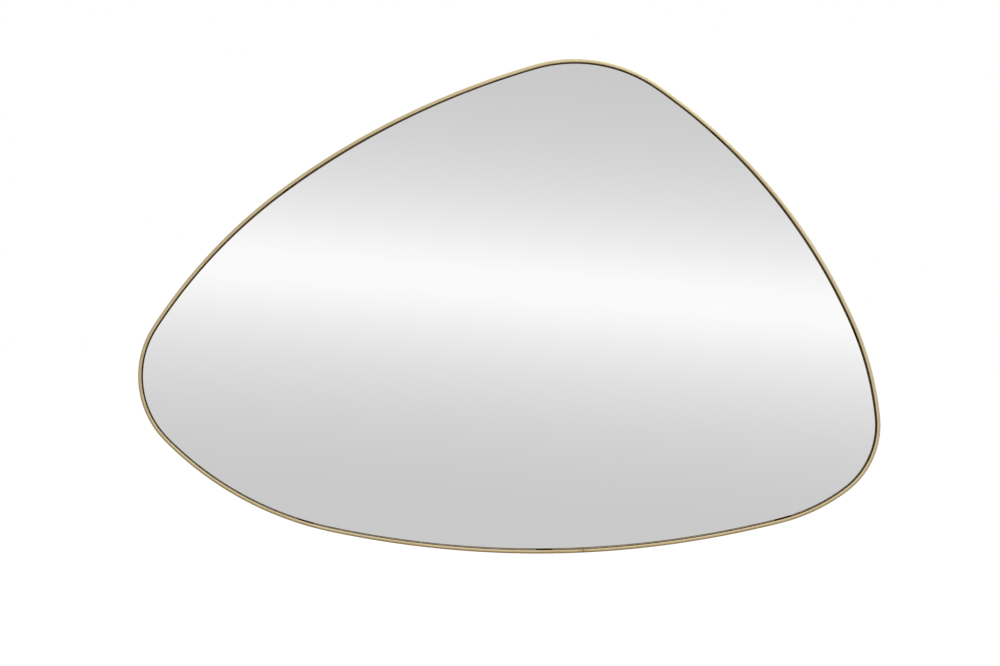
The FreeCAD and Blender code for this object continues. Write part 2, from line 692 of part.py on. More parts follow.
def make_ring(name, x):
    """Wire D-ring, drawn upright about its bar and leaned back to rest near the board."""
    place = Placement(Vector(x, BACK_OF_BOARD + PIVOT_HEIGHT, -RING_DROP),
                      Rotation(Vector(1, 0, 0), math.degrees(RING_LEAN)))
    body = new_node(f"hanger_ring_{name}", place)
    bend = size["ring_corner_radius"]
    bow_z = bend + size["ring_leg"]
    up = Vector(0, 0, 1)
    path = new_sketch(body, "bend", "XZ_Plane")
    path.addGeometry([
        Part.LineSegment(Vector(-BAR_HALF, 0, 0), Vector(BAR_HALF, 0, 0)),
        Part.ArcOfCircle(Part.Circle(Vector(BAR_HALF, bend, 0), up, bend), -math.pi / 2, 0),
        Part.LineSegment(Vector(BOW_RADIUS, bend, 0), Vector(BOW_RADIUS, bow_z, 0)),
        Part.ArcOfCircle(Part.Circle(Vector(0, bow_z, 0), up, BOW_RADIUS), 0, math.pi),
        Part.LineSegment(Vector(-BOW_RADIUS, bow_z, 0), Vector(-BOW_RADIUS, bend, 0)),
        Part.ArcOfCircle(Part.Circle(Vector(-BAR_HALF, bend, 0), up, bend), math.pi, 3 * math.pi / 2),
    ], False)
    bar, right_bend, right_leg, bow, left_leg, left_bend = range(6)
    for i in range(6):
        path.addConstraint(Sketcher.Constraint("Tangent", i, 2, (i + 1) % 6, 1))
    for rule in (
        ("PointOnObject", bar, 1, -1),
        ("PointOnObject", bow, 3, -2),
        ("Horizontal", bar),
        ("Vertical", right_leg),
        ("Equal", right_bend, left_bend),
    ):
        path.addConstraint(Sketcher.Constraint(*rule))
    bound = (
        (("Radius", right_bend, bend), "ring_corner_radius"),
        (("Radius", bow, BOW_RADIUS), "strap_width / 2 + ring_side_play + ring_corner_radius"),
        (("DistanceY", -1, 1, bow, 3, bow_z), "ring_corner_radius + ring_leg"),
    )
    for rule, expression in bound:
        bind(path, path.addConstraint(Sketcher.Constraint(*rule)), expression)

    wire = new_sketch(body, "wire", "YZ_Plane")
    wire.addGeometry(Part.Circle(Vector(), up, size["ring_wire"] / 2), False)
    wire.addConstraint(Sketcher.Constraint("Coincident", 0, 3, -1, 1))
    number = wire.addConstraint(Sketcher.Constraint("Radius", 0, size["ring_wire"] / 2))
    bind(wire, number, "ring_wire / 2")
    doc.recompute()
    edges = [f"Edge{i + 1}" for i in range(6)]
    add_feature(body, "AdditivePipe", "bent_wire", Profile=wire, Spine=(path, edges))
    doc.recompute()


def make_bumper(name, bearing):
    """Turned rubber bumper on the board, just proud of the hoop's back."""
    point = facing(bearing, size["bar_thickness"] + size["bumper_inset"])
    body = new_node(f"wall_bumper_{name}", Placement(in_frame(point, BACK_OF_BOARD), Rotation()))
    foot = size["bumper_width"] / 2
    face = foot - size["bumper_taper"]
    height = -BACK_OF_BOARD
    sketch = new_sketch(body, "profile", "XY_Plane")
    corners = [Vector(0, 0, 0), Vector(foot, 0, 0), Vector(face, height, 0), Vector(0, height, 0)]
    for a, b in zip(corners, corners[1:] + corners[:1]):
        sketch.addGeometry(Part.LineSegment(a, b), False)
    base, flank, top, middle = range(4)
    for rule in (
        ("Coincident", base, 2, flank, 1),
        ("Coincident", flank, 2, top, 1),
        ("Coincident", top, 2, middle, 1),
        ("Coincident", middle, 2, base, 1),
        ("Coincident", base, 1, -1, 1),
        ("Horizontal", base),
        ("Horizontal", top),
        ("Vertical", middle),
    ):
        sketch.addConstraint(Sketcher.Constraint(*rule))
    back_recess = "hoop_depth - glass_recess - glass_thickness - tape_thickness - board_thickness"
    bound = (
        (("DistanceX", base, 1, base, 2, foot), "bumper_width / 2"),
        (("DistanceX", top, 2, top, 1, face), "bumper_width / 2 - bumper_taper"),
        (("DistanceY", middle, 2, middle, 1, height), f"{back_recess} + wall_gap"),
    )
    for rule, expression in bound:
        bind(sketch, sketch.addConstraint(Sketcher.Constraint(*rule)), expression)
    add_feature(body, "Revolution", "turned", Profile=sketch, ReferenceAxis=(sketch, ["V_Axis"]), Angle=360.0)
    doc.recompute()
    dress(body, "Fillet", "face_edge", edges_at(body.Tip, height), "Radius", "bumper_edge_radius")


# ---------------------------------------------------------------- the mirror

make_hoop()
make_glass()
make_tapes()
make_board()
for lug_number, (lug_arc, lug_angle, lug_place) in enumerate(lug_stations(), start=1):
    make_lug(lug_number, lug_arc, lug_angle)
screw = make_screw()
place_screws("lug_screws", screw, [in_frame(place, BACK_OF_LUG) for arc, angle, place in lug_stations()])
for hanger, hanger_x in HANGERS.items():
    make_strap(hanger, hanger_x)
    make_ring(hanger, hanger_x)
place_screws("hanger_screws", screw, [in_frame(hole, BACK_OF_BOARD + STRAP_STACK)
                                      for x in HANGERS.values() for hole in strap_holes(x)])
for bumper, bearing in BUMPER_BEARINGS.items():
    make_bumper(bumper, bearing)
doc.recompute()

for item in doc.Objects:
    if "Invalid" in item.State or "Error" in item.State:
        raise RuntimeError(f"{item.Name} failed: {item.State}")
for node in nodes:
    if node.Shape.isNull() or not node.Shape.isValid():
        raise RuntimeError(f"{node.Label} has no valid shape")

whole = FreeCAD.BoundBox()
os.makedirs("parts", exist_ok=True)
for node in nodes:
    node.Shape.exportStep(f"parts/{node.Label}.step")
    whole.add(node.Shape.optimalBoundingBox(True, False))
print(f"{len(nodes)} nodes, {whole.XLength:.1f} x {whole.YLength:.1f} x {whole.ZLength:.1f} mm")
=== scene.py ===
"""Irregular shaped wall mirror: a slim brass hoop round silvered glass, hung on two D-rings.

The mirror faces -Y, with +X to the right as it is seen from the front. Lengths are in metres.
"""

import logging
import math
from collections.abc import Sequence
from dataclasses import dataclass, field
from enum import Enum

import bpy
import numpy as np
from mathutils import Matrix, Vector
from mathutils.geometry import convex_hull_2d


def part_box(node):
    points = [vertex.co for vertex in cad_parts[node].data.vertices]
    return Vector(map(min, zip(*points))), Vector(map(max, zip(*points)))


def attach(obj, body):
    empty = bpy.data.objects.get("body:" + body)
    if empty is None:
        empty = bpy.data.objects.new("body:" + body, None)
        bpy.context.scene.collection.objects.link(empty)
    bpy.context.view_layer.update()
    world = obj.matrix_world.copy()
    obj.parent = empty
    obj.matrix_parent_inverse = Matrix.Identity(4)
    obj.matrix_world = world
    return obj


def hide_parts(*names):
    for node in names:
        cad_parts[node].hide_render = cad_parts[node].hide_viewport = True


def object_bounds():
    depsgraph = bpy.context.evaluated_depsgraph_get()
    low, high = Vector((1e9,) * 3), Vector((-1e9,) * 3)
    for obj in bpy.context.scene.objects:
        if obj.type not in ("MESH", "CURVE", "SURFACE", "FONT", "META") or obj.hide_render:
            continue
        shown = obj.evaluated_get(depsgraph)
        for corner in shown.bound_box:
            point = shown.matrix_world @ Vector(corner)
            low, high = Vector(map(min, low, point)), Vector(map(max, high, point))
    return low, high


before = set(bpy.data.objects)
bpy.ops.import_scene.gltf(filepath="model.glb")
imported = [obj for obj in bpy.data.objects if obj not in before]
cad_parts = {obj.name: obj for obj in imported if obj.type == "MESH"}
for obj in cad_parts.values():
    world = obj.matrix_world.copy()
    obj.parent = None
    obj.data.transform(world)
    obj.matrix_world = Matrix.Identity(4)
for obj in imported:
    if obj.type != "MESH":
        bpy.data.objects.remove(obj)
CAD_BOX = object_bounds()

MM = 0.001
ROOT = "mirror"
BAR = 4.0 * MM
Colour = tuple[float, float, float]
Socket = bpy.types.NodeSocket
Sockets = bpy.types.bpy_prop_collection
Material = bpy.types.Material
Piece = bpy.types.Object
log = logging.getLogger("mirror")


# ---------------- node trees


class Tree:
    """Short-hand for adding nodes to one node tree.

    Args:
        tree: the tree of a material, a world or a group.
    """

    def __init__(self, tree: bpy.types.NodeTree) -> None:
        """Keep the tree."""
        self.tree = tree

    def add(self, kind: str, **settings: object) -> bpy.types.Node:
        """Add a node and set its properties.

        Args:
            kind: the node's type, without the leading "ShaderNode".
            settings: the node's own properties.

        Returns:
            The new node.
        """
        node = self.tree.nodes.new("ShaderNode" + kind)
        for name, value in settings.items():
            setattr(node, name, value)
        return node

    def feed(self, socket: Socket, value: object) -> None:
        """Link a socket to another, or set it to a plain value.

        Args:
            socket: the input to fill.
            value: an output socket, a number, a vector or a colour.
        """
        if isinstance(value, Socket):
            self.tree.links.new(value, socket)
        elif socket.type == "RGBA" and len(value) == 3:
            socket.default_value = (*value, 1.0)
        else:
            socket.default_value = value

    def math(self, operation: str, *values: object, clamp: bool = False) -> Socket:
        """Add a Math node and return its output."""
        node = self.add("Math", operation=operation, use_clamp=clamp)
        for socket, value in zip(node.inputs, values):
            self.feed(socket, value)
        return node.outputs[0]

    def times(self, first: object, second: object, clamp: bool = False) -> Socket:
        """Multiply two values and return the result."""
        return self.math("MULTIPLY", first, second, clamp=clamp)

    def fit(self, value: object, low: float, high: float, to_low: float = 0.0, to_high: float = 1.0,
            smooth: bool = False) -> Socket:
        """Map a value from one range to another, clamped, and return the output."""
        node = self.add("MapRange", interpolation_type="SMOOTHSTEP" if smooth else "LINEAR")
        for socket, item in zip(node.inputs, (value, low, high, to_low, to_high)):
            self.feed(socket, item)
        return node.outputs[0]

    def between(self, share: object, low: float, high: float) -> Socket:
        """Turn a share from 0 to 1 into a value from low to high, and return the output."""
        return self.fit(share, 0.0, 1.0, low, high)

    def blend(self, first: object, second: object, share: float) -> Socket:
        """Add two values, the first by its share and the second by the rest."""
        return self.math("ADD", self.times(first, share), self.times(second, 1.0 - share))

    def mix(self, factor: object, first: object, second: object) -> Socket:
        """Mix two colours and return the result."""
        node = self.add("Mix", data_type="RGBA")
        colours = [socket for socket in node.inputs if socket.type == "RGBA"]
        for socket, value in zip((node.inputs[0], *colours), (factor, first, second)):
            self.feed(socket, value)
        return next(socket for socket in node.outputs if socket.type == "RGBA")

    def noise(self, vector: object, scale: object, detail: float = 3.0, rough: float = 0.55,
              distortion: float = 0.0) -> Socket:
        """Add a noise texture and return its value."""
        node = self.add("TexNoise")
        for name, value in (("Vector", vector), ("Scale", scale), ("Detail", detail), ("Roughness", rough),
                            ("Distortion", distortion)):
            self.feed(node.inputs[name], value)
        return node.outputs[0]

    def split(self, vector: object) -> Sockets:
        """Take a vector apart and return its x, y and z."""
        node = self.add("SeparateXYZ")
        self.feed(node.inputs[0], vector)
        return node.outputs

    def stretched(self, vector: object, scales: tuple[object, object, object]) -> Socket:
        """Scale a vector along each of its axes and return it."""
        apart = self.split(vector)
        joined = self.add("CombineXYZ")
        for i, scale in enumerate(scales):
            self.feed(joined.inputs[i], self.times(apart[i], scale))
        return joined.outputs[0]

    def bump(self, height: object, distance: float, strength: float = 1.0,
             normal: object = None) -> Socket:
        """Turn a height into a normal and return it."""
        node = self.add("Bump")
        for name, value in (("Height", height), ("Distance", distance), ("Strength", strength)):
            self.feed(node.inputs[name], value)
        if normal is not None:
            self.feed(node.inputs["Normal"], normal)
        return node.outputs[0]


class Effect:
    """A surface effect that several finishes share, kept as one node group.

    Args:
        name: the group's name.
        inputs: input names with their socket type and default.
        outputs: output names with their socket type.
    """

    TYPES = {"value": "NodeSocketFloat", "colour": "NodeSocketColor", "vector": "NodeSocketVector"}

    def __init__(self, name: str, inputs: dict[str, tuple[str, object]], outputs: dict[str, str]) -> None:
        """Make the empty group with its sockets."""
        self.group = bpy.data.node_groups.new(name, "ShaderNodeTree")
        for label, (kind, default) in inputs.items():
            socket = self.group.interface.new_socket(name=label, in_out="INPUT", socket_type=self.TYPES[kind])
            if kind == "colour":
                socket.default_value = (*default, 1.0)
            elif kind == "value":
                socket.default_value = default
        for label, kind in outputs.items():
            self.group.interface.new_socket(name=label, in_out="OUTPUT", socket_type=self.TYPES[kind])
        self.inside = Tree(self.group)
        self.given = self.group.nodes.new("NodeGroupInput").outputs
        self.result = self.group.nodes.new("NodeGroupOutput").inputs

    def lay(self, tree: Tree, **values: object) -> Sockets:
        """Place the group in a material.

        Args:
            tree: the material's tree.
            values: input names, with underscores for spaces, and what feeds them.

        Returns:
            The outputs of the placed group.
        """
        node = tree.add("Group", node_tree=self.group)
        for name, value in values.items():
            tree.feed(node.inputs[name.replace("_", " ")], value)
        return node.outputs


def make_brushing() -> Effect:
    """Fine parallel lines left by an abrasive belt.

    Returns:
        The effect, whose Height is for a bump and whose Tone lightens and darkens the metal.
    """
    effect = Effect("belt brushing", {"Along": ("vector", None), "Line Length": ("value", 50 * MM),
                                      "Line Width": ("value", 0.2 * MM)},
                    {"Height": "value", "Tone": "value"})
    tree, given = effect.inside, effect.given
    long = tree.math("DIVIDE", 1.0, given["Line Length"])
    wide = tree.math("DIVIDE", 1.0, given["Line Width"])
    lines = tree.noise(tree.stretched(given["Along"], (long, wide, wide)), 1.0, 2.0, 0.6)
    long_band, wide_band = tree.times(long, 0.5), tree.times(wide, 0.13)
    bands = tree.noise(tree.stretched(given["Along"], (long_band, wide_band, wide_band)), 1.0, 2.0, 0.5)
    height = tree.blend(lines, bands, 0.7)
    tree.feed(effect.result["Height"], height)
    tree.feed(effect.result["Tone"], tree.fit(height, 0.32, 0.68))
    return effect


def make_mottle() -> Effect:
    """Slow cloudy change from one colour to another, with a finer change inside it.

    Returns:
        The effect, with the mixed Colour and the Cloud that mixed it.
    """
    effect = Effect("mottle",
                    {"Place": ("vector", None), "Size": ("value", 0.05), "First": ("colour", (0.5,) * 3),
                     "Second": ("colour", (0.6,) * 3), "Amount": ("value", 1.0)},
                    {"Colour": "colour", "Cloud": "value"})
    tree, given = effect.inside, effect.given
    scale = tree.math("DIVIDE", 1.0, given["Size"])
    slow = tree.noise(given["Place"], scale, 4.0, 0.6, 0.4)
    fine = tree.noise(given["Place"], tree.times(scale, 9.0), 3.0, 0.6)
    shaped = tree.fit(tree.blend(slow, fine, 0.75), 0.36, 0.64, smooth=True)
    factor = tree.times(shaped, given["Amount"], clamp=True)
    tree.feed(effect.result["Colour"], tree.mix(factor, given["First"], given["Second"]))
    tree.feed(effect.result["Cloud"], shaped)
    return effect


def make_dust() -> Effect:
    """Thin dust that settles on faces that look up, in uneven patches.

    Returns:
        The effect, with the dusted Colour.
    """
    effect = Effect("settled dust",
                    {"Under": ("colour", (0.5,) * 3), "Dust": ("colour", (0.46, 0.43, 0.39)),
                     "Place": ("vector", None), "Amount": ("value", 0.3), "Grain": ("value", 1.5 * MM)},
                    {"Colour": "colour"})
    tree, given = effect.inside, effect.given
    up = tree.split(tree.add("NewGeometry").outputs["Normal"])[2]
    facing = tree.fit(up, -0.15, 0.9, 0.12, 1.0, smooth=True)
    patches = tree.fit(tree.noise(given["Place"], 14.0, 4.0, 0.6), 0.38, 0.66, 0.2, 1.0)
    fine = tree.math("DIVIDE", 1.0, given["Grain"])
    grains = tree.fit(tree.noise(given["Place"], fine, 2.0, 0.7), 0.42, 0.7)
    cover = tree.times(tree.times(facing, patches), tree.between(grains, 0.45, 1.0))
    factor = tree.times(cover, given["Amount"], clamp=True)
    tree.feed(effect.result["Colour"], tree.mix(factor, given["Under"], given["Dust"]))
    return effect


def make_scratches() -> Effect:
    """Scattered hairline scratches of two directions.

    Returns:
        The effect, whose Mask is 1 on a scratch.
    """
    effect = Effect("hairline scratches",
                    {"Place": ("vector", None), "Spacing": ("value", 0.01), "Width": ("value", 0.02)},
                    {"Mask": "value"})
    tree, given = effect.inside, effect.given
    scale = tree.math("DIVIDE", 1.0, given["Spacing"])
    masks = []
    for turn in (0.5, 2.1):
        turned = tree.add("VectorRotate", rotation_type="AXIS_ANGLE")
        turned.inputs["Axis"].default_value = (0.3, 1.0, 0.2)
        turned.inputs["Angle"].default_value = turn
        tree.feed(turned.inputs["Vector"], given["Place"])
        drawn = tree.stretched(turned.outputs[0], (1.0, 1.0, 0.06))
        cells = tree.add("TexVoronoi", feature="DISTANCE_TO_EDGE")
        tree.feed(cells.inputs["Vector"], drawn)
        tree.feed(cells.inputs["Scale"], scale)
        near = tree.math("LESS_THAN", cells.outputs["Distance"], given["Width"])
        some = tree.fit(tree.noise(turned.outputs[0], tree.times(scale, 0.7), 2.0), 0.56, 0.6)
        masks.append(tree.times(near, some))
    tree.feed(effect.result["Mask"], tree.math("MAXIMUM", *masks))
    return effect


@dataclass
class Effects:
    """The shared effects, each built once."""

    brushing: Effect = field(default_factory=make_brushing)
    mottle: Effect = field(default_factory=make_mottle)
    dust: Effect = field(default_factory=make_dust)
    scratches: Effect = field(default_factory=make_scratches)


# ---------------- finishes


class Coords(Enum):
    """What texture coordinates come from: the object, or the layer that a swept bar carries."""

    OBJECT = "Object"
    BAR = "bar"


class Skin(Tree):
    """The tree of a material, with its texture coordinates and the shared effects laid on them.

    Args:
        material: the material, whose tree is emptied.
        coords: what the coordinates of the brushing come from.
        effects: the shared effects.
    """

    def __init__(self, material: Material, coords: Coords, effects: Effects) -> None:
        """Empty the tree and add the coordinates."""
        material.use_nodes = True
        material.node_tree.nodes.clear()
        super().__init__(material.node_tree)
        self.effects = effects
        self.spot = self.add("TexCoord").outputs[Coords.OBJECT.value]
        self.place = self.spot
        if coords is Coords.BAR:
            self.place = self.add("UVMap", uv_map=coords.value).outputs[0]

    def mottle(self, size: float, first: Colour, second: Colour, amount: float = 1.0) -> Sockets:
        """Lay the mottle and return its Colour and Cloud."""
        return self.effects.mottle.lay(self, Place=self.spot, Size=size, First=first, Second=second,
                                       Amount=amount)

    def brushing(self, length: float, width: float) -> Sockets:
        """Lay the belt brushing and return its Height and Tone."""
        return self.effects.brushing.lay(self, Along=self.place, Line_Length=length, Line_Width=width)

    def scratches(self, spacing: float, width: float, strength: float) -> Socket:
        """Lay the scratches and return their mask, weakened to a strength."""
        mask = self.effects.scratches.lay(self, Place=self.spot, Spacing=spacing, Width=width)["Mask"]
        return self.times(mask, strength)

    def dust(self, under: Socket, amount: float, grain: float = 1.5 * MM) -> Socket:
        """Lay dust on a colour and return the dusted colour."""
        return self.effects.dust.lay(self, Under=under, Place=self.spot, Amount=amount, Grain=grain)["Colour"]


@dataclass(frozen=True)
class Finish:
    """What every finish has: a name and where its brushing's coordinates come from."""

    name: str
    coords: Coords = Coords.OBJECT

    def material(self, effects: Effects) -> Material:
        """Build the material.

        Args:
            effects: the shared effects.

        Returns:
            The material, whose shader is fed with this kind of finish.
        """
        material = bpy.data.materials.new(self.name)
        skin = Skin(material, self.coords, effects)
        shader = skin.add("BsdfPrincipled")
        skin.feed(skin.add("OutputMaterial").inputs["Surface"], shader.outputs[0])
        for socket, value in self.feeds(skin).items():
            skin.feed(shader.inputs[socket], value)
        return material

    def feeds(self, skin: Skin) -> dict[str, object]:
        """Add the finish's own nodes; each kind of finish has its own.

        Args:
            skin: the material's tree.

        Returns:
            What feeds the shader, by the names of its inputs.
        """
        raise NotImplementedError(self.name)


@dataclass(frozen=True)
class BrushedBrass(Finish):
    """Pale brass, brushed along the bar, u along it and v across, and clear lacquered."""

    coords: Coords = Coords.BAR
    pale: Colour = (0.895, 0.757, 0.470)
    deep: Colour = (0.830, 0.663, 0.365)
    # Painted shade: the inside wall's dark brown stands in for the shade in the slot between the bar and the
    # glass.
    inside: Colour = (0.44, 0.25, 0.055)
    heated: Colour = (0.62, 0.42, 0.22)
    filler: Colour = (0.30, 0.19, 0.10)
    roughness: float = 0.24
    line_depth: float = 0.012 * MM
    wave_depth: float = 0.4 * MM
    seam_at: float = 0.0
    seam_half: float = 0.45 * MM
    inside_from: float = 0.0
    inside_fade: float = 0.6 * MM

    def feeds(self, skin: Skin) -> dict[str, object]:
        """Brush the bar, darken its seam, and paint shade on its inside wall, which is also left rougher."""
        lines = skin.brushing(60 * MM, 0.22 * MM)
        cloud = skin.mottle(90 * MM, self.pale, self.deep, 0.55)
        toned = skin.mix(skin.between(lines["Tone"], 0.0, 0.22), cloud["Colour"], self.deep)
        along, across, _ = skin.split(skin.place)
        off_seam = skin.math("ABSOLUTE", skin.math("SUBTRACT", along, self.seam_at))
        heat = skin.fit(off_seam, self.seam_half * 2, self.seam_half * 22, 0.55, 0.0, smooth=True)
        on_seam = skin.fit(off_seam, self.seam_half * 0.6, self.seam_half, 1.0, 0.0)
        seamed = skin.mix(on_seam, skin.mix(heat, toned, self.heated), self.filler)
        # Painted shade: past the front, the inside wall fades to the dark inside colour, and it is also
        # rougher there.
        unpolished_and_shaded = skin.fit(across, self.inside_from, self.inside_from + self.inside_fade)
        rough = skin.between(cloud["Cloud"], self.roughness - 0.03, self.roughness + 0.05)
        dulled = skin.math("MAXIMUM", skin.times(on_seam, 0.25), skin.times(unpolished_and_shaded, 0.2))
        wave = skin.noise(skin.stretched(skin.place, (18.0, 90.0, 1.0)), 1.0, 2.0, 0.5)
        waved = skin.bump(wave, self.wave_depth, 0.35)
        return {"Base Color": skin.dust(skin.mix(unpolished_and_shaded, seamed, self.inside), 0.05), "Metallic": 1.0,
                "Roughness": skin.math("ADD", rough, dulled), "Coat Weight": 0.12, "Coat Roughness": 0.12,
                "Normal": skin.bump(lines["Height"], self.line_depth, 0.5, waved)}


@dataclass(frozen=True)
class MillBrass(Finish):
    """Flat brass as it leaves the torch: dull, warm and darkened in patches."""

    clean: Colour = (0.66, 0.50, 0.28)
    tarnished: Colour = (0.36, 0.22, 0.11)
    scratched: Colour = (0.80, 0.64, 0.40)
    roughness: float = 0.38

    def feeds(self, skin: Skin) -> dict[str, object]:
        """Tarnish and scratch the brass."""
        cloud = skin.mottle(12 * MM, self.clean, self.tarnished, 0.85)
        bright = skin.mix(skin.scratches(6 * MM, 0.03, 0.5), cloud["Colour"], self.scratched)
        return {"Base Color": skin.dust(bright, 0.25), "Metallic": 1.0,
                "Roughness": skin.between(cloud["Cloud"], self.roughness - 0.06, self.roughness + 0.16),
                "Normal": skin.bump(skin.brushing(20 * MM, 0.35 * MM)["Height"], 0.02 * MM, 0.6)}


@dataclass(frozen=True)
class Silvering(Finish):
    """Clean silvering, seen through flat float glass."""

    silver: Colour = (0.958, 0.960, 0.958)
    duller: float = 0.995

    def feeds(self, skin: Skin) -> dict[str, object]:
        """Cloud the silver a little, under a thin film and a slow ripple."""
        cloud = skin.mottle(350 * MM, self.silver, tuple(self.duller * c for c in self.silver))
        ripple = skin.noise(skin.stretched(skin.place, (1.2, 1.0, 3.0)), 1.0, 1.0)
        return {"Base Color": skin.dust(cloud["Colour"], 0.004), "Metallic": 1.0, "Roughness": 0.0,
                "Normal": skin.bump(ripple, 0.02 * MM, 0.2)}


@dataclass(frozen=True)
class BackPaint(Finish):
    """Grey protective paint on the back of the glass, with faint curtain lines."""

    paint: Colour = (0.20, 0.205, 0.21)
    thin: Colour = (0.15, 0.155, 0.16)

    def feeds(self, skin: Skin) -> dict[str, object]:
        """Pour the paint in long curtain lines."""
        cloud = skin.mottle(60 * MM, self.paint, self.thin, 0.7)
        return {"Base Color": skin.dust(cloud["Colour"], 0.2),
                "Roughness": skin.between(cloud["Cloud"], 0.4, 0.5),
                "Normal": skin.bump(skin.brushing(200 * MM, 2 * MM)["Height"], 0.02 * MM, 0.4)}


@dataclass(frozen=True)
class PaintedBoard(Finish):
    """Fibreboard rolled with matt black paint, thin at its edge and bare in front."""

    paint: Colour = (0.010, 0.010, 0.011)
    worn: Colour = (0.019, 0.018, 0.017)
    scuff: Colour = (0.12, 0.115, 0.11)
    fibre: Colour = (0.34, 0.215, 0.115)

    def feeds(self, skin: Skin) -> dict[str, object]:
        """Roll the paint, scuff it, and bare the fibre where no paint is."""
        cloud = skin.mottle(30 * MM, self.paint, self.worn, 0.7)
        scuffed = skin.mix(skin.scratches(90 * MM, 0.002, 0.12), cloud["Colour"], self.scuff)
        facing = skin.split(skin.add("NewGeometry").outputs["True Normal"])[1]
        side = skin.fit(skin.math("ABSOLUTE", facing), 0.5, 0.9, 1.0, 0.0)
        thin = skin.fit(skin.noise(skin.place, 220.0, 4.0, 0.7), 0.5, 0.62, 0.0, 0.7)
        front = skin.math("LESS_THAN", facing, -0.9)
        bare = skin.math("MAXIMUM", skin.times(side, thin), front)
        roller, swell = skin.noise(skin.place, 900.0, 3.0, 0.6), skin.noise(skin.place, 120.0, 2.0, 0.5)
        return {"Base Color": skin.dust(skin.mix(bare, scuffed, self.fibre), 0.07, 1.2 * MM),
                "Specular IOR Level": 0.25, "Roughness": skin.between(cloud["Cloud"], 0.52, 0.66),
                "Normal": skin.bump(skin.blend(roller, swell, 0.55), 0.10 * MM, 0.6)}


@dataclass(frozen=True)
class Plating(Finish):
    """Thin bright plating on steel, with drawn lines and small dull spots."""

    bright: Colour = (0.62, 0.60, 0.56)
    dull: Colour = (0.42, 0.39, 0.35)
    rubbed: Colour = (0.80, 0.78, 0.74)
    roughness: float = 0.22
    line_length: float = 12 * MM
    line_width: float = 0.25 * MM

    def feeds(self, skin: Skin) -> dict[str, object]:
        """Spot, draw and rub the plating."""
        cloud = skin.mottle(6 * MM, self.bright, self.dull, 0.7)
        lines = skin.brushing(self.line_length, self.line_width)
        rubbed = skin.mix(skin.scratches(4 * MM, 0.03, 0.4), cloud["Colour"], self.rubbed)
        return {"Base Color": skin.dust(rubbed, 0.18, 0.6 * MM), "Metallic": 1.0,
                "Roughness": skin.between(cloud["Cloud"], self.roughness - 0.05, self.roughness + 0.15),
                "Normal": skin.bump(lines["Height"], 0.01 * MM, 0.5)}


@dataclass(frozen=True)
class Foam(Finish):
    """Closed cell foam of the mounting tape, with its open cut side."""

    skin_colour: Colour = (0.72, 0.71, 0.68)
    cell_colour: Colour = (0.50, 0.49, 0.46)
    cells: float = 2400.0

    def feeds(self, skin: Skin) -> dict[str, object]:
        """Pit the foam with small cells."""
        cloud = skin.mottle(10 * MM, self.skin_colour, self.cell_colour, 0.6)
        bubbles = skin.add("TexVoronoi", feature="F1")
        skin.feed(bubbles.inputs["Vector"], skin.place)
        skin.feed(bubbles.inputs["Scale"], self.cells)
        pits = skin.fit(bubbles.outputs["Distance"], 0.1, 0.6)
        return {"Base Color": skin.mix(pits, self.cell_colour, cloud["Colour"]),
                "Roughness": skin.between(pits, 0.85, 0.7), "Normal": skin.bump(pits, 0.08 * MM, 0.7)}


@dataclass(frozen=True)
class Grained(Finish):
    """A cloudy surface with a fine grain: what the ground glass, rubber and paper share."""

    first: Colour = (0.5, 0.5, 0.5)
    second: Colour = (0.5, 0.5, 0.5)
    cloud_size: float = 6 * MM
    amount: float = 1.0
    smoothest: float = 0.5
    roughest: float = 0.6
    grains: float = 2200.0
    detail: float = 3.0
    grain_rough: float = 0.6
    grain_depth: float = 0.03 * MM
    grain_strength: float = 0.5

    def feeds(self, skin: Skin) -> dict[str, object]:
        """Cloud the surface and grain it."""
        cloud = skin.mottle(self.cloud_size, self.first, self.second, self.amount)
        grain = skin.noise(skin.place, self.grains, self.detail, self.grain_rough)
        return {"Base Color": cloud["Colour"],
                "Roughness": skin.between(cloud["Cloud"], self.smoothest, self.roughest),
                "Normal": skin.bump(grain, self.grain_depth, self.grain_strength)}


@dataclass(frozen=True)
class ShadedGroundEdge(Grained):
    """The glass past the silvering: its rim and its ground arris and edge, coloured dark brown as painted
    shade of the slot between glass and hoop.
    """

    # Painted shade: these dark browns stand in for the shade in the slot between the glass and the hoop.
    first: Colour = (0.095, 0.050, 0.005)
    second: Colour = (0.125, 0.072, 0.010)
    smoothest: float = 0.45

    def feeds(self, skin: Skin) -> dict[str, object]:
        """Grain the edge, with hardly any gloss."""
        return super().feeds(skin) | {"Specular IOR Level": 0.05}


@dataclass(frozen=True)
class Rubber(Grained):
    """Moulded rubber, matt, with a bloom of pale dust."""

    first: Colour = (0.030, 0.030, 0.031)
    second: Colour = (0.085, 0.083, 0.080)
    amount: float = 0.8
    smoothest: float = 0.55
    roughest: float = 0.78
    grains: float = 2600.0
    grain_rough: float = 0.65
    grain_depth: float = 0.05 * MM

    def feeds(self, skin: Skin) -> dict[str, object]:
        """Grain the rubber and dust it."""
        feeds = super().feeds(skin)
        return feeds | {"Base Color": skin.dust(feeds["Base Color"], 0.35, 0.5 * MM)}


@dataclass(frozen=True)
class StudioFloor(Grained):
    """Pale seamless paper."""

    first: Colour = (0.93, 0.93, 0.93)
    second: Colour = (0.985 * 0.93,) * 3
    cloud_size: float = 800 * MM
    smoothest: float = 0.85
    roughest: float = 0.9
    grains: float = 700.0
    detail: float = 2.0
    grain_rough: float = 0.55
    grain_strength: float = 0.3


def zinc(name: str) -> Plating:
    """Name the screws' zinc plating.

    Args:
        name: the material's name.

    Returns:
        The finish.
    """
    return Plating(name, bright=(0.66, 0.66, 0.66), dull=(0.45, 0.45, 0.46), roughness=0.28,
                   line_length=0.8 * MM)


# ---------------- the outline and its meshes


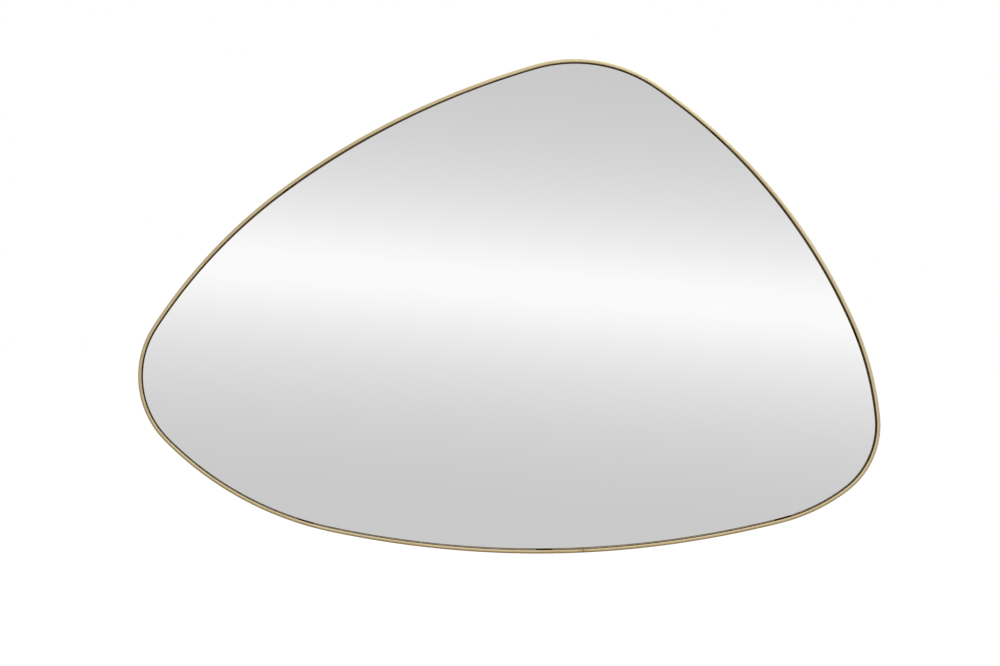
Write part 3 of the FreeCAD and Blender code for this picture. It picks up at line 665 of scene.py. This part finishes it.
@dataclass(frozen=True)
class Loop:
    """A closed, convex curve in the mirror's plane, anticlockwise seen from the front.

    Attributes:
        table: dense points (x, z) round the curve, the first repeated at the end.
        normals: outward unit normals at those points.
        lengths: distance along the curve of each of those points.
    """

    table: np.ndarray
    normals: np.ndarray
    lengths: np.ndarray

    @classmethod
    def round_node(cls, node: Piece, least_step: float = 2 * MM, dense: int = 12000) -> "Loop":
        """Make the smooth curve through the outermost corners of a node.

        Args:
            node: a CAD node whose outline is convex.
            least_step: corners nearer than this to the one before are left out.
            dense: how many points the table has.

        Returns:
            The curve.
        """
        flat = [Vector((v.co.x, v.co.z)) for v in node.data.vertices]
        hull = [flat[i] for i in convex_hull_2d(flat)]
        area = sum(a.x * b.y - b.x * a.y for a, b in zip(hull, hull[1:] + hull[:1]))
        if area < 0:
            hull.reverse()
        kept: list[Vector] = []
        for point in hull:
            if not kept or (point - kept[-1]).length > least_step:
                kept.append(point)
        if (kept[0] - kept[-1]).length < least_step:
            kept.pop()
        corners = np.array([tuple(p) for p in kept])
        return cls.through(corners, dense)

    @classmethod
    def through(cls, corners: np.ndarray, dense: int) -> "Loop":
        """Make the closed cubic curve through some points.

        Args:
            corners: the points, in order.
            dense: how many points the table has.

        Returns:
            The curve, whose slope and bend are continuous all round.
        """
        count = len(corners)
        steps = np.linalg.norm(np.roll(corners, -1, 0) - corners, axis=1)
        before = np.roll(steps, 1)
        rises = (np.roll(corners, -1, 0) - corners) / steps[:, None]
        system = np.zeros((count, count))
        for i in range(count):
            system[i, i - 1] += before[i]
            system[i, i] += 2 * (before[i] + steps[i])
            system[i, (i + 1) % count] += steps[i]
        bends = np.linalg.solve(system, 6 * (rises - np.roll(rises, 1, 0)))
        knots = np.concatenate([[0.0], np.cumsum(steps)])
        along = np.linspace(0.0, knots[-1], dense + 1)
        index = np.minimum(np.searchsorted(knots, along, side="right") - 1, count - 1)
        step, after = steps[index][:, None], (along - knots[index])[:, None]
        first, second = bends[index], bends[(index + 1) % count]
        start, end = corners[index], corners[(index + 1) % count]
        slope = (end - start) / step - step * (2 * first + second) / 6
        table = start + slope * after + first * after**2 / 2 + (second - first) * after**3 / (6 * step)
        tangents = slope + first * after + (second - first) * after**2 / (2 * step)
        tangents /= np.linalg.norm(tangents, axis=1)[:, None]
        normals = np.stack([tangents[:, 1], -tangents[:, 0]], axis=1)
        gaps = np.linalg.norm(np.diff(table, axis=0), axis=1)
        return cls(table, normals, np.concatenate([[0.0], np.cumsum(gaps)]))

    @property
    def length(self) -> float:
        """Distance once round."""
        return float(self.lengths[-1])

    def at(self, along: np.ndarray, inset: np.ndarray | float = 0.0) -> np.ndarray:
        """Points at distances along the curve, moved inwards.

        Args:
            along: distances along the curve.
            inset: how far inwards, one number or one for each point.

        Returns:
            The points as an array of (x, z).
        """
        turned = np.mod(along, self.length)
        points = np.stack([np.interp(turned, self.lengths, self.table[:, i]) for i in (0, 1)], axis=1)
        return points - self.normal(turned) * np.reshape(inset, (-1, 1))

    def normal(self, along: np.ndarray) -> np.ndarray:
        """Outward unit normals at distances along the curve."""
        turned = np.mod(along, self.length)
        found = np.stack([np.interp(turned, self.lengths, self.normals[:, i]) for i in (0, 1)], axis=1)
        return found / np.linalg.norm(found, axis=1)[:, None]

    def nearest(self, x: float, z: float) -> float:
        """Distance along the curve of its table's point nearest to (x, z)."""
        return float(self.lengths[np.argmin(np.hypot(self.table[:, 0] - x, self.table[:, 1] - z))])


def arc(centre: tuple[float, float], radius: float, start: float, end: float,
        steps: int) -> list[tuple[float, float]]:
    """Points of an arc in a section.

    Args:
        centre: (inset, y) of the circle.
        radius: its radius.
        start: where it starts, in degrees; 180 is outwards, 270 is to the front.
        end: where it ends.
        steps: how many straight steps it has.

    Returns:
        The points as (inset, y).
    """
    angles = [math.radians(start + (end - start) * i / steps) for i in range(steps + 1)]
    return [(centre[0] + radius * math.cos(a), centre[1] + radius * math.sin(a)) for a in angles]


def mesh_piece(name: str, vertices: list, faces: list, smooth_angle: float = 35.0) -> Piece:
    """Make a mesh object with outward faces, smooth except at sharp edges.

    Args:
        name: the piece's name.
        vertices: places of its corners.
        faces: corner numbers of each face.
        smooth_angle: edges that turn by more than this, in degrees, stay sharp.

    Returns:
        The object, linked to the scene.
    """
    mesh = bpy.data.meshes.new(name)
    mesh.from_pydata(vertices, [], faces)
    mesh.validate()
    mesh.shade_smooth()
    mesh.set_sharp_from_angle(angle=math.radians(smooth_angle))
    piece = bpy.data.objects.new(name, mesh)
    bpy.context.scene.collection.objects.link(piece)
    return piece


def quads(rows: int, columns: int, closed: bool = False, flipped: bool = False) -> list[tuple[int, ...]]:
    """Join rows of corners, each row a closed ring.

    Args:
        rows: how many rows there are.
        columns: how many corners a row has.
        closed: whether the last row joins the first.
        flipped: whether the faces look the other way.

    Returns:
        The corner numbers of each face, row by row.
    """
    faces = []
    for row in range(rows if closed else rows - 1):
        a, b = row * columns, (row + 1) % rows * columns
        for j in range(columns):
            beside = (j + 1) % columns
            corners = (b + j, b + beside, a + beside)
            faces.append((a + j, *(reversed(corners) if flipped else corners)))
    return faces


def sweep(name: str, loop: Loop, along: np.ndarray, section: list[tuple[float, float]],
          dip: np.ndarray | None = None) -> Piece:
    """Carry a closed section round a closed curve.

    Args:
        name: the piece's name.
        loop: the curve.
        along: distances along it of the section's places, rising.
        section: corners as (inset, y), in the order outside, front, inside, back.
        dip: how far inwards each corner of the section moves at each place, one row a place.

    Returns:
        The piece, with coordinates named "bar": u along the curve and v across the section.
    """
    places, corners = len(along), len(section)
    dips = np.zeros((places, corners)) if dip is None else dip
    grid = np.zeros((places, corners, 3))
    for j, (inset, y) in enumerate(section):
        flat = loop.at(along, inset + dips[:, j])
        grid[:, j, 0], grid[:, j, 1], grid[:, j, 2] = flat[:, 0], y, flat[:, 1]
    across = [0.0]
    for a, b in zip(section, section[1:] + section[:1]):
        across.append(across[-1] + math.dist(a, b))
    marks = []
    stops = list(along) + [loop.length + along[0]]
    for i in range(places):
        for j in range(corners):
            marks += [(stops[i], across[j]), (stops[i + 1], across[j]),
                      (stops[i + 1], across[j + 1]), (stops[i], across[j + 1])]
    piece = mesh_piece(name, [tuple(p) for p in grid.reshape(-1, 3)], quads(places, corners, closed=True))
    layer = piece.data.uv_layers.new(name=Coords.BAR.value)
    for loop_corner, mark in zip(layer.data, marks):
        loop_corner.uv = mark
    return piece


def dress(piece: Piece, material: Material) -> None:
    """Give a piece its one material."""
    piece.data.materials.clear()
    piece.data.materials.append(material)


def dress_node(name: str, material: Material) -> Piece:
    """Give a CAD node its material and report it.

    Args:
        name: the node's name.
        material: its new material.

    Returns:
        The node's object.
    """
    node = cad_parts[name]
    if node.data.materials:
        for i in range(len(node.data.materials)):
            node.data.materials[i] = material
    else:
        node.data.materials.append(material)
    log.info("dressed node %s in %s", name, material.name)
    return node


# ---------------- sub-assemblies


@dataclass
class Part:
    """A sub-assembly, whose build method makes or dresses its pieces with the shared effects."""

    effects: Effects


@dataclass
class Hoop(Part):
    """The flat bar bent to the outline."""

    loop: Loop
    outer_round: float = 1.0 * MM
    inner_round: float = 0.6 * MM
    crown: float = 4.0
    lacquer_gap: float = 0.03 * MM
    back_break: float = 0.4 * MM
    polished_past: float = 0.6 * MM
    seam_x: float = 75.4 * MM
    seam_width: float = 0.5 * MM
    seam_depth: float = 0.3 * MM
    seam_places: int = 13
    step: float = 1.6 * MM
    # How far the front of the bar leans inwards: its mean, and its waves as (waves in a turn,
    # phase, amplitude). Each wave leans least where its angle round the middle reaches the phase.
    lean: float = 0.38 * MM
    lean_waves: tuple[tuple[int, float, float], ...] = (
        (1, -0.45, 0.26 * MM), (2, -0.61, 0.16 * MM), (3, 0.83, 0.19 * MM), (5, 0.0, 0.12 * MM))
    least_lean: float = 0.02 * MM
    round_steps: int = 9
    crown_steps: int = 8

    def section(self) -> list[tuple[float, float]]:
        """The bar's section, outside first, then the front, the inside and the back."""
        front, back = (corner.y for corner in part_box("frame_hoop"))
        half = (front + back) / 2
        cut, tilt = self.back_break, math.radians(self.crown)
        outer, inner = self.outer_round, self.inner_round
        # The crown is one wide arc that meets both rounds at its own slope.
        start, end = outer * (1 - math.sin(tilt)), BAR - inner * (1 - math.sin(tilt))
        wide = (end - start) / 2 / math.sin(tilt)
        edge = front + wide * (1 - math.cos(tilt))
        left, right = 270.0 - self.crown, 270.0 + self.crown
        return [(cut, back), (0.0, back - cut), (0.0, half),
                *arc((outer, edge + outer * math.cos(tilt)), outer, 180.0, left, self.round_steps),
                *arc(((start + end) / 2, front + wide), wide, left, right, self.crown_steps)[1:-1],
                *arc((BAR - inner, edge + inner * math.cos(tilt)), inner, right, 360.0, self.round_steps),
                (BAR, half), (BAR, back - cut), (BAR - cut, back)]

    def stations(self) -> tuple[np.ndarray, float]:
        """Places along the bar, closer together at the seam.

        Returns:
            The distances along the curve and the seam's own.
        """
        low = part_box("frame_hoop")[0]
        seam = self.loop.nearest(self.seam_x, low.z)
        count = int(self.loop.length / self.step)
        even = np.linspace(0.0, self.loop.length, count, endpoint=False)
        reach = 1.5 * self.seam_width
        even = even[np.abs(even - seam) > reach]
        fine = seam + np.linspace(-reach, reach, self.seam_places)
        return np.sort(np.concatenate([even, fine])), seam

    def lean_at(self, along: np.ndarray) -> np.ndarray:
        """How far the front leans inwards, which changes as the bar goes round.

        Args:
            along: distances along the curve.

        Returns:
            One lean for each distance.
        """
        low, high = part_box("frame_hoop")
        middle = (low + high) / 2
        points = self.loop.at(along)
        angle = np.arctan2(points[:, 1] - middle.z, points[:, 0] - middle.x)
        waves = sum(size * np.cos(count * angle - phase) for count, phase, size in self.lean_waves)
        return np.maximum(self.lean - waves, self.least_lean)

    def build(self) -> Piece:
        """Build the hoop, with its dressed seam, in place of its CAD node.

        Returns:
            The piece.
        """
        section = self.section()
        along, seam = self.stations()
        front, back = (corner.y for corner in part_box("frame_hoop"))
        lean = self.lean_at(along)
        dip = np.full((len(along), len(section)), self.lacquer_gap)
        groove = self.seam_depth * np.clip(1 - np.abs(along - seam) / (self.seam_width / 2), 0, 1)
        for j, (inset, y) in enumerate(section):
            dip[:, j] += lean * (back - y) / (back - front)
            if inset < BAR / 2:
                dip[:, j] += groove
        piece = sweep("hoop", self.loop, along, section, dip)
        inner = next(j for j, (inset, y) in enumerate(section) if math.isclose(inset, BAR))
        wall = sum(math.dist(a, b) for a, b in zip(section[:inner], section[1:inner + 1]))
        # From a little past the front, the inside wall of the brass is painted in shade.
        finish = BrushedBrass("brushed brass", seam_at=seam, inside_from=wall + self.polished_past)
        dress(piece, finish.material(self.effects))
        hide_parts("frame_hoop")
        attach(piece, ROOT)
        log.info("hoop: %d places round %.3f m", len(along), self.loop.length)
        return piece


@dataclass
class Pane(Part):
    """The silvered glass, whose silvering stops just short of its edge."""

    loop: Loop
    arris: float = 0.5 * MM
    rim: float = 0.25 * MM
    step: float = 2.5 * MM

    def build(self) -> Piece:
        """Build the glass, flat and with ground edges, in place of its CAD node.

        Returns:
            The piece.
        """
        low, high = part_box("mirror_glass")
        front, back, cut = low.y, high.y, self.arris
        count = int(self.loop.length / self.step)
        along = np.linspace(0.0, self.loop.length, count, endpoint=False)
        # The rim, the arris and the edge take the dark brown edge finish, which is painted shade of the slot.
        rings = [(cut + self.rim, front), (cut, front), (0.0, front + cut), (0.0, back - cut), (cut, back)]
        vertices = [(x, y, z) for inset, y in rings for x, z in self.loop.at(along, inset)]
        faces = quads(len(rings), count, flipped=True)
        face, back_face = len(faces), len(faces) + 1
        faces.append(tuple(range(count))[::-1])
        faces.append(tuple(range(len(vertices) - count, len(vertices))))
        piece = mesh_piece("glass", vertices, faces, 20.0)
        dress(piece, ShadedGroundEdge("shaded ground glass edge").material(self.effects))
        piece.data.materials.append(Silvering("silvered glass").material(self.effects))
        piece.data.materials.append(BackPaint("mirror back paint").material(self.effects))
        piece.data.polygons[face].material_index = 1
        piece.data.polygons[back_face].material_index = 2
        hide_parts("mirror_glass")
        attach(piece, ROOT)
        log.info("glass: %d corners round", count)
        return piece


@dataclass
class Backing(Part):
    """The board, the tape strips in front of it and the bumpers behind it."""

    tape: str = "mounting_tape_"
    bumper: str = "wall_bumper_"

    def build(self) -> None:
        """Dress the board, each strip and each bumper."""
        dress_node("backing_board", PaintedBoard("black painted board").material(self.effects))
        foam = Foam("white foam tape").material(self.effects)
        rubber = Rubber("moulded rubber").material(self.effects)
        for name in sorted(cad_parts):
            if name.startswith(self.tape):
                dress_node(name, foam)
            elif name.startswith(self.bumper):
                dress_node(name, rubber)


@dataclass
class Lugs(Part):
    """The lugs, the filler that holds each to the hoop, and their screws."""

    hoop_loop: Loop
    prefix: str = "fixing_lug_"
    leg: float = 1.3 * MM
    width: float = 19.0 * MM
    steps: int = 26
    # The bead's hollow face, as shares of the leg: inwards and up.
    face: tuple[tuple[float, float], ...] = (
        (0.0, 0.0), (0.0, 1.0), (0.16, 0.62), (0.36, 0.34), (0.64, 0.15), (1.0, 0.0))

    def bead(self, number: int, node: Piece, material: Material) -> Piece:
        """Build the bead of filler in the corner between a lug and the hoop.

        Args:
            number: the lug's number.
            node: the lug.
            material: the bead's material.

        Returns:
            The piece.
        """
        low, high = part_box(node.name)
        centre = (low + high) / 2
        middle = self.hoop_loop.nearest(centre.x, centre.z)
        along = middle + np.linspace(-self.width / 2, self.width / 2, self.steps + 1)
        vertices: list[tuple[float, float, float]] = []
        for i, place in enumerate(along):
            share = i / self.steps
            slow, quick = math.sin(5.1 * share * math.pi + number), math.sin(17 * share + 2 * number)
            swell = (0.80 + 0.13 * slow + 0.07 * quick) * min(1.0, 0.25 + 6 * min(share, 1 - share))
            for inward, rise in self.face:
                x, z = self.hoop_loop.at(np.array([place]), BAR + self.leg * swell * inward)[0]
                vertices.append((x, high.y + self.leg * swell * rise, z))
        count = len(self.face)
        ends = [tuple(range(count)), tuple(range(self.steps * count, (self.steps + 1) * count))[::-1]]
        faces = quads(self.steps + 1, count) + ends
        piece = mesh_piece(f"braze_bead_{number}", vertices, faces, 50.0)
        dress(piece, material)
        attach(piece, ROOT)
        return piece

    def build(self) -> None:
        """Dress the lugs and screws and add the beads."""
        brass = MillBrass("mill brass").material(self.effects)
        filler = MillBrass("brazing filler", clean=(0.78, 0.60, 0.32), tarnished=(0.45, 0.26, 0.12),
                           roughness=0.30).material(self.effects)
        for name in sorted(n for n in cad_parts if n.startswith(self.prefix)):
            node = dress_node(name, brass)
            number = int(name.removeprefix(self.prefix))
            self.bead(number, node, filler)
            log.info("braze_bead_%d laid along %s", number, name)
        dress_node("lug_screws", zinc("zinc plated screw").material(self.effects))


@dataclass
class Hangers(Part):
    """The two folded straps with their D-rings."""

    sides: tuple[str, str] = ("left", "right")

    def build(self) -> None:
        """Dress the straps, the rings and their screws."""
        strap = Plating("nickel plated strap").material(self.effects)
        wire = Plating("nickel plated wire", bright=(0.68, 0.66, 0.62), dull=(0.50, 0.47, 0.43),
                       roughness=0.17, line_length=1.5 * MM, line_width=0.4 * MM).material(self.effects)
        for side in self.sides:
            dress_node(f"hanger_strap_{side}", strap)
            dress_node(f"hanger_ring_{side}", wire)
        dress_node("hanger_screws", zinc("zinc plated hanger screw").material(self.effects))


# ---------------- studio


@dataclass
class Studio(Part):
    """Floor, lights, surroundings and camera."""

    image_width: int = 1000
    image_height: int = 666
    distance: float = 3.0
    sensor: float = 36.0
    picture_width_of_hoop: float = 743.4
    picture_centre_of_hoop: tuple[float, float] = (509.0, 306.05)
    floor_below: float = 0.45
    floor_reach: float = 40.0
    # Where both lights aim, and each light's name, place, width and power.
    aim: tuple[float, float, float] = (0.0, 0.0, -0.14)
    lights: tuple[tuple[str, tuple[float, float, float], float, float], ...] = (
        ("key_light", (-0.9, -2.0, 2.4), 2.4, 55.0), ("back_light", (1.2, 2.4, 1.8), 2.4, 45.0))
    # The soft bright band that the glass reflects, in picture units: where its middle line runs,
    # how far it reaches, and its light by the distance from that line.
    band_height: float = 262.0
    band_x: float = 230.0
    band_slope: float = 0.082
    band_reach: float = 250.0
    band: tuple[tuple[float, float], ...] = (
        (0.0, 1.01), (20.0, 0.990), (50.0, 0.885), (90.0, 0.770), (140.0, 0.675), (200.0, 0.612))
    # Half the width and height of the window, and its middle, for each metre to the front.
    window_wide: float = 0.175
    window_high: float = 0.112
    window_up: float = 0.008
    # Where the panels take over: in half windows from the window's middle, and to the back.
    window_fade: tuple[float, float] = (1.03, 1.5)
    behind_fade: tuple[float, float] = (-0.2, 0.0)
    least_ahead: float = 0.001
    # Panels round the window and far from it: share of the turn from the left, through below,
    # the right and above, back to the left, and their light. Only rough gloss shows them.
    near_panels: tuple[tuple[float, Colour], ...] = (
        (0.0, (0.25, 0.25, 0.25)), (0.125, (0.32, 0.28, 0.12)), (0.25, (0.21, 0.11, 0.045)),
        (0.375, (0.38, 0.29, 0.10)), (0.5, (0.42, 0.44, 0.50)), (0.625, (1.20, 1.32, 1.58)),
        (0.75, (0.80, 0.80, 0.68)), (0.875, (0.34, 0.38, 0.42)), (1.0, (0.25, 0.25, 0.25)))
    far_panels: tuple[tuple[float, Colour], ...] = (
        (0.0, (0.52, 0.53, 0.54)), (0.25, (0.21, 0.17, 0.13)), (0.5, (0.52, 0.53, 0.54)),
        (0.75, (0.90, 0.90, 0.90)), (1.0, (0.52, 0.53, 0.54)))
    # How far to the front a ray points where the near panels pass into the far ones.
    far_from: tuple[float, float] = (-0.92, -0.6)
    # The light of the calm studio, below and above, and the rise of a ray where it changes.
    calm_low: float = 0.52
    calm_high: float = 0.95
    calm_rise: float = 0.4
    # The white that lights the matt surfaces, and the one that the camera sees.
    white_light: float = 1.15
    white_seen: float = 1.0

    @property
    def scale(self) -> float:
        """Metres in the hoop's plane for one unit of the picture."""
        low, high = CAD_BOX
        return (high.x - low.x) / self.picture_width_of_hoop

    def make_camera(self) -> None:
        """Place the camera level and square to the glass."""
        across = self.picture_centre_of_hoop[0] - self.image_width / 2
        up = self.image_height / 2 - self.picture_centre_of_hoop[1]
        data = bpy.data.cameras.new("camera")
        data.sensor_width = self.sensor
        data.lens = self.sensor * self.distance / (self.scale * self.image_width)
        camera = bpy.data.objects.new("camera", data)
        low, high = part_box("frame_hoop")
        camera.location = ((low.x + high.x) / 2 - across * self.scale, low.y - self.distance,
                           (low.z + high.z) / 2 - up * self.scale)
        camera.rotation_euler = (math.radians(90.0), 0.0, 0.0)
        bpy.context.scene.collection.objects.link(camera)
        bpy.context.scene.camera = camera
        log.info("camera at %s with a %.1f mm lens", tuple(round(c, 3) for c in camera.location), data.lens)

    def make_floor(self) -> None:
        """Lay the pale floor below the mirror."""
        reach, height = self.floor_reach, CAD_BOX[0].z - self.floor_below
        corners = [(-reach, -reach, height), (reach, -reach, height), (reach, reach, height),
                   (-reach, reach, height)]
        floor = mesh_piece("studio_floor", corners, [(0, 1, 2, 3)])
        floor.data.materials.append(StudioFloor("pale floor").material(self.effects))
        floor.visible_glossy = False

    def make_lights(self) -> None:
        """Hang two large soft lights, above in front and above behind.

        The one in front doesn't show in gloss, so the metal shows the panels alone.
        """
        for name, place, width, power in self.lights:
            data = bpy.data.lights.new(name, "AREA")
            data.shape, data.size, data.energy = "DISK", width, power
            light = bpy.data.objects.new(name, data)
            light.location = place
            light.rotation_euler = (Vector(self.aim) - light.location).to_track_quat("-Z", "Y").to_euler()
            light.visible_glossy = place[1] > 0.0
            bpy.context.scene.collection.objects.link(light)

    def make_band(self, tree: Tree, x: object, z: object) -> Socket:
        """Make the soft bright band that the glass shows.

        Args:
            tree: the world's tree.
            x: how far right a ray goes for each metre to the front.
            z: how far up it goes.

        Returns:
            The band's light.
        """
        unit = self.scale / self.distance
        up = self.image_height / 2 - self.band_height
        start = up + (self.band_x - self.image_width / 2) * self.band_slope
        line = tree.math("DIVIDE", tree.math("ADD", z, tree.times(x, self.band_slope)), unit)
        off = tree.math("ABSOLUTE", tree.math("SUBTRACT", line, start))
        stops = [(distance / self.band_reach, (level,) * 3) for distance, level in self.band]
        return self.make_ramp(tree, tree.math("DIVIDE", off, self.band_reach), stops, "B_SPLINE")

    def make_ramp(self, tree: Tree, value: object, stops: Sequence[tuple[float, Colour]],
                  blend: str) -> Socket:
        """Make a run of colours.

        Args:
            tree: the world's tree.
            value: what chooses the colour, from 0 to 1.
            stops: places and their colours, in order.
            blend: how the colours pass into each other.

        Returns:
            The colour.
        """
        ramp = tree.add("ValToRGB")
        ramp.color_ramp.interpolation = blend
        elements = ramp.color_ramp.elements
        while len(elements) < len(stops):
            elements.new(0.5)
        for element, (place, colour) in zip(elements, stops):
            element.position = place
            element.color = (*colour, 1.0)
        tree.feed(ramp.inputs[0], value)
        return ramp.outputs[0]

    def make_world(self) -> None:
        """Surround the mirror with a white studio, whose band and panels show only in gloss."""
        world = bpy.data.worlds.new("studio")
        world.use_nodes = True
        world.node_tree.nodes.clear()
        tree = Tree(world.node_tree)
        x, y, z = tree.split(tree.add("TexCoord").outputs["Generated"])
        ahead = tree.math("MAXIMUM", tree.math("ABSOLUTE", y), self.least_ahead)
        right, up = tree.math("DIVIDE", x, ahead), tree.math("DIVIDE", z, ahead)
        band = self.make_band(tree, right, up)
        # Where a ray leaves the window that the glass shows to the camera, panels take over.
        up_from_middle = tree.math("SUBTRACT", up, self.window_up)
        wide = tree.math("POWER", tree.math("DIVIDE", right, self.window_wide), 2.0)
        high = tree.math("POWER", tree.math("DIVIDE", up_from_middle, self.window_high), 2.0)
        outside = tree.fit(tree.math("SQRT", tree.math("ADD", wide, high)), *self.window_fade, smooth=True)
        behind = tree.fit(y, *self.behind_fade)
        beyond = tree.math("MAXIMUM", outside, behind)
        raised = tree.math("SUBTRACT", z, tree.times(ahead, self.window_up))
        turn = tree.fit(tree.math("ARCTAN2", raised, x), -math.pi, math.pi)
        near = self.make_ramp(tree, turn, self.near_panels, "LINEAR")
        far = self.make_ramp(tree, turn, self.far_panels, "LINEAR")
        panels = tree.mix(tree.fit(y, *self.far_from, smooth=True), near, far)
        rise = tree.fit(z, -self.calm_rise, self.calm_rise, smooth=True)
        calm = tree.mix(rise, (self.calm_low,) * 3, (self.calm_high,) * 3)
        # A sharp reflection is the glass's, which shows the calm studio round the band.
        path = tree.add("LightPath").outputs
        around = tree.mix(path["Is Singular Ray"], panels, calm)
        seen = tree.mix(beyond, band, around)
        lit = tree.mix(path["Is Glossy Ray"], (self.white_light,) * 3, seen)
        shown = tree.mix(path["Is Camera Ray"], lit, (self.white_seen,) * 3)
        background = tree.add("Background")
        tree.feed(background.inputs["Color"], shown)
        tree.feed(tree.add("OutputWorld").inputs[0], background.outputs[0])
        bpy.context.scene.world = world

    def build(self) -> None:
        """Make the camera, the floor, the lights and the surroundings."""
        bpy.context.scene.view_settings.view_transform = "Standard"
        self.make_camera()
        self.make_floor()
        self.make_lights()
        self.make_world()


def main() -> None:
    """Build the mirror and the studio, and report each piece."""
    logging.basicConfig(level=logging.INFO, format="%(name)s: %(message)s")
    effects = Effects()
    Studio(effects).build()
    hoop_loop = Loop.round_node(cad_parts["frame_hoop"])
    Hoop(effects, hoop_loop).build()
    Pane(effects, Loop.round_node(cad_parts["mirror_glass"])).build()
    Backing(effects).build()
    Lugs(effects, hoop_loop).build()
    Hangers(effects).build()


if __name__ == "__main__":
    main()
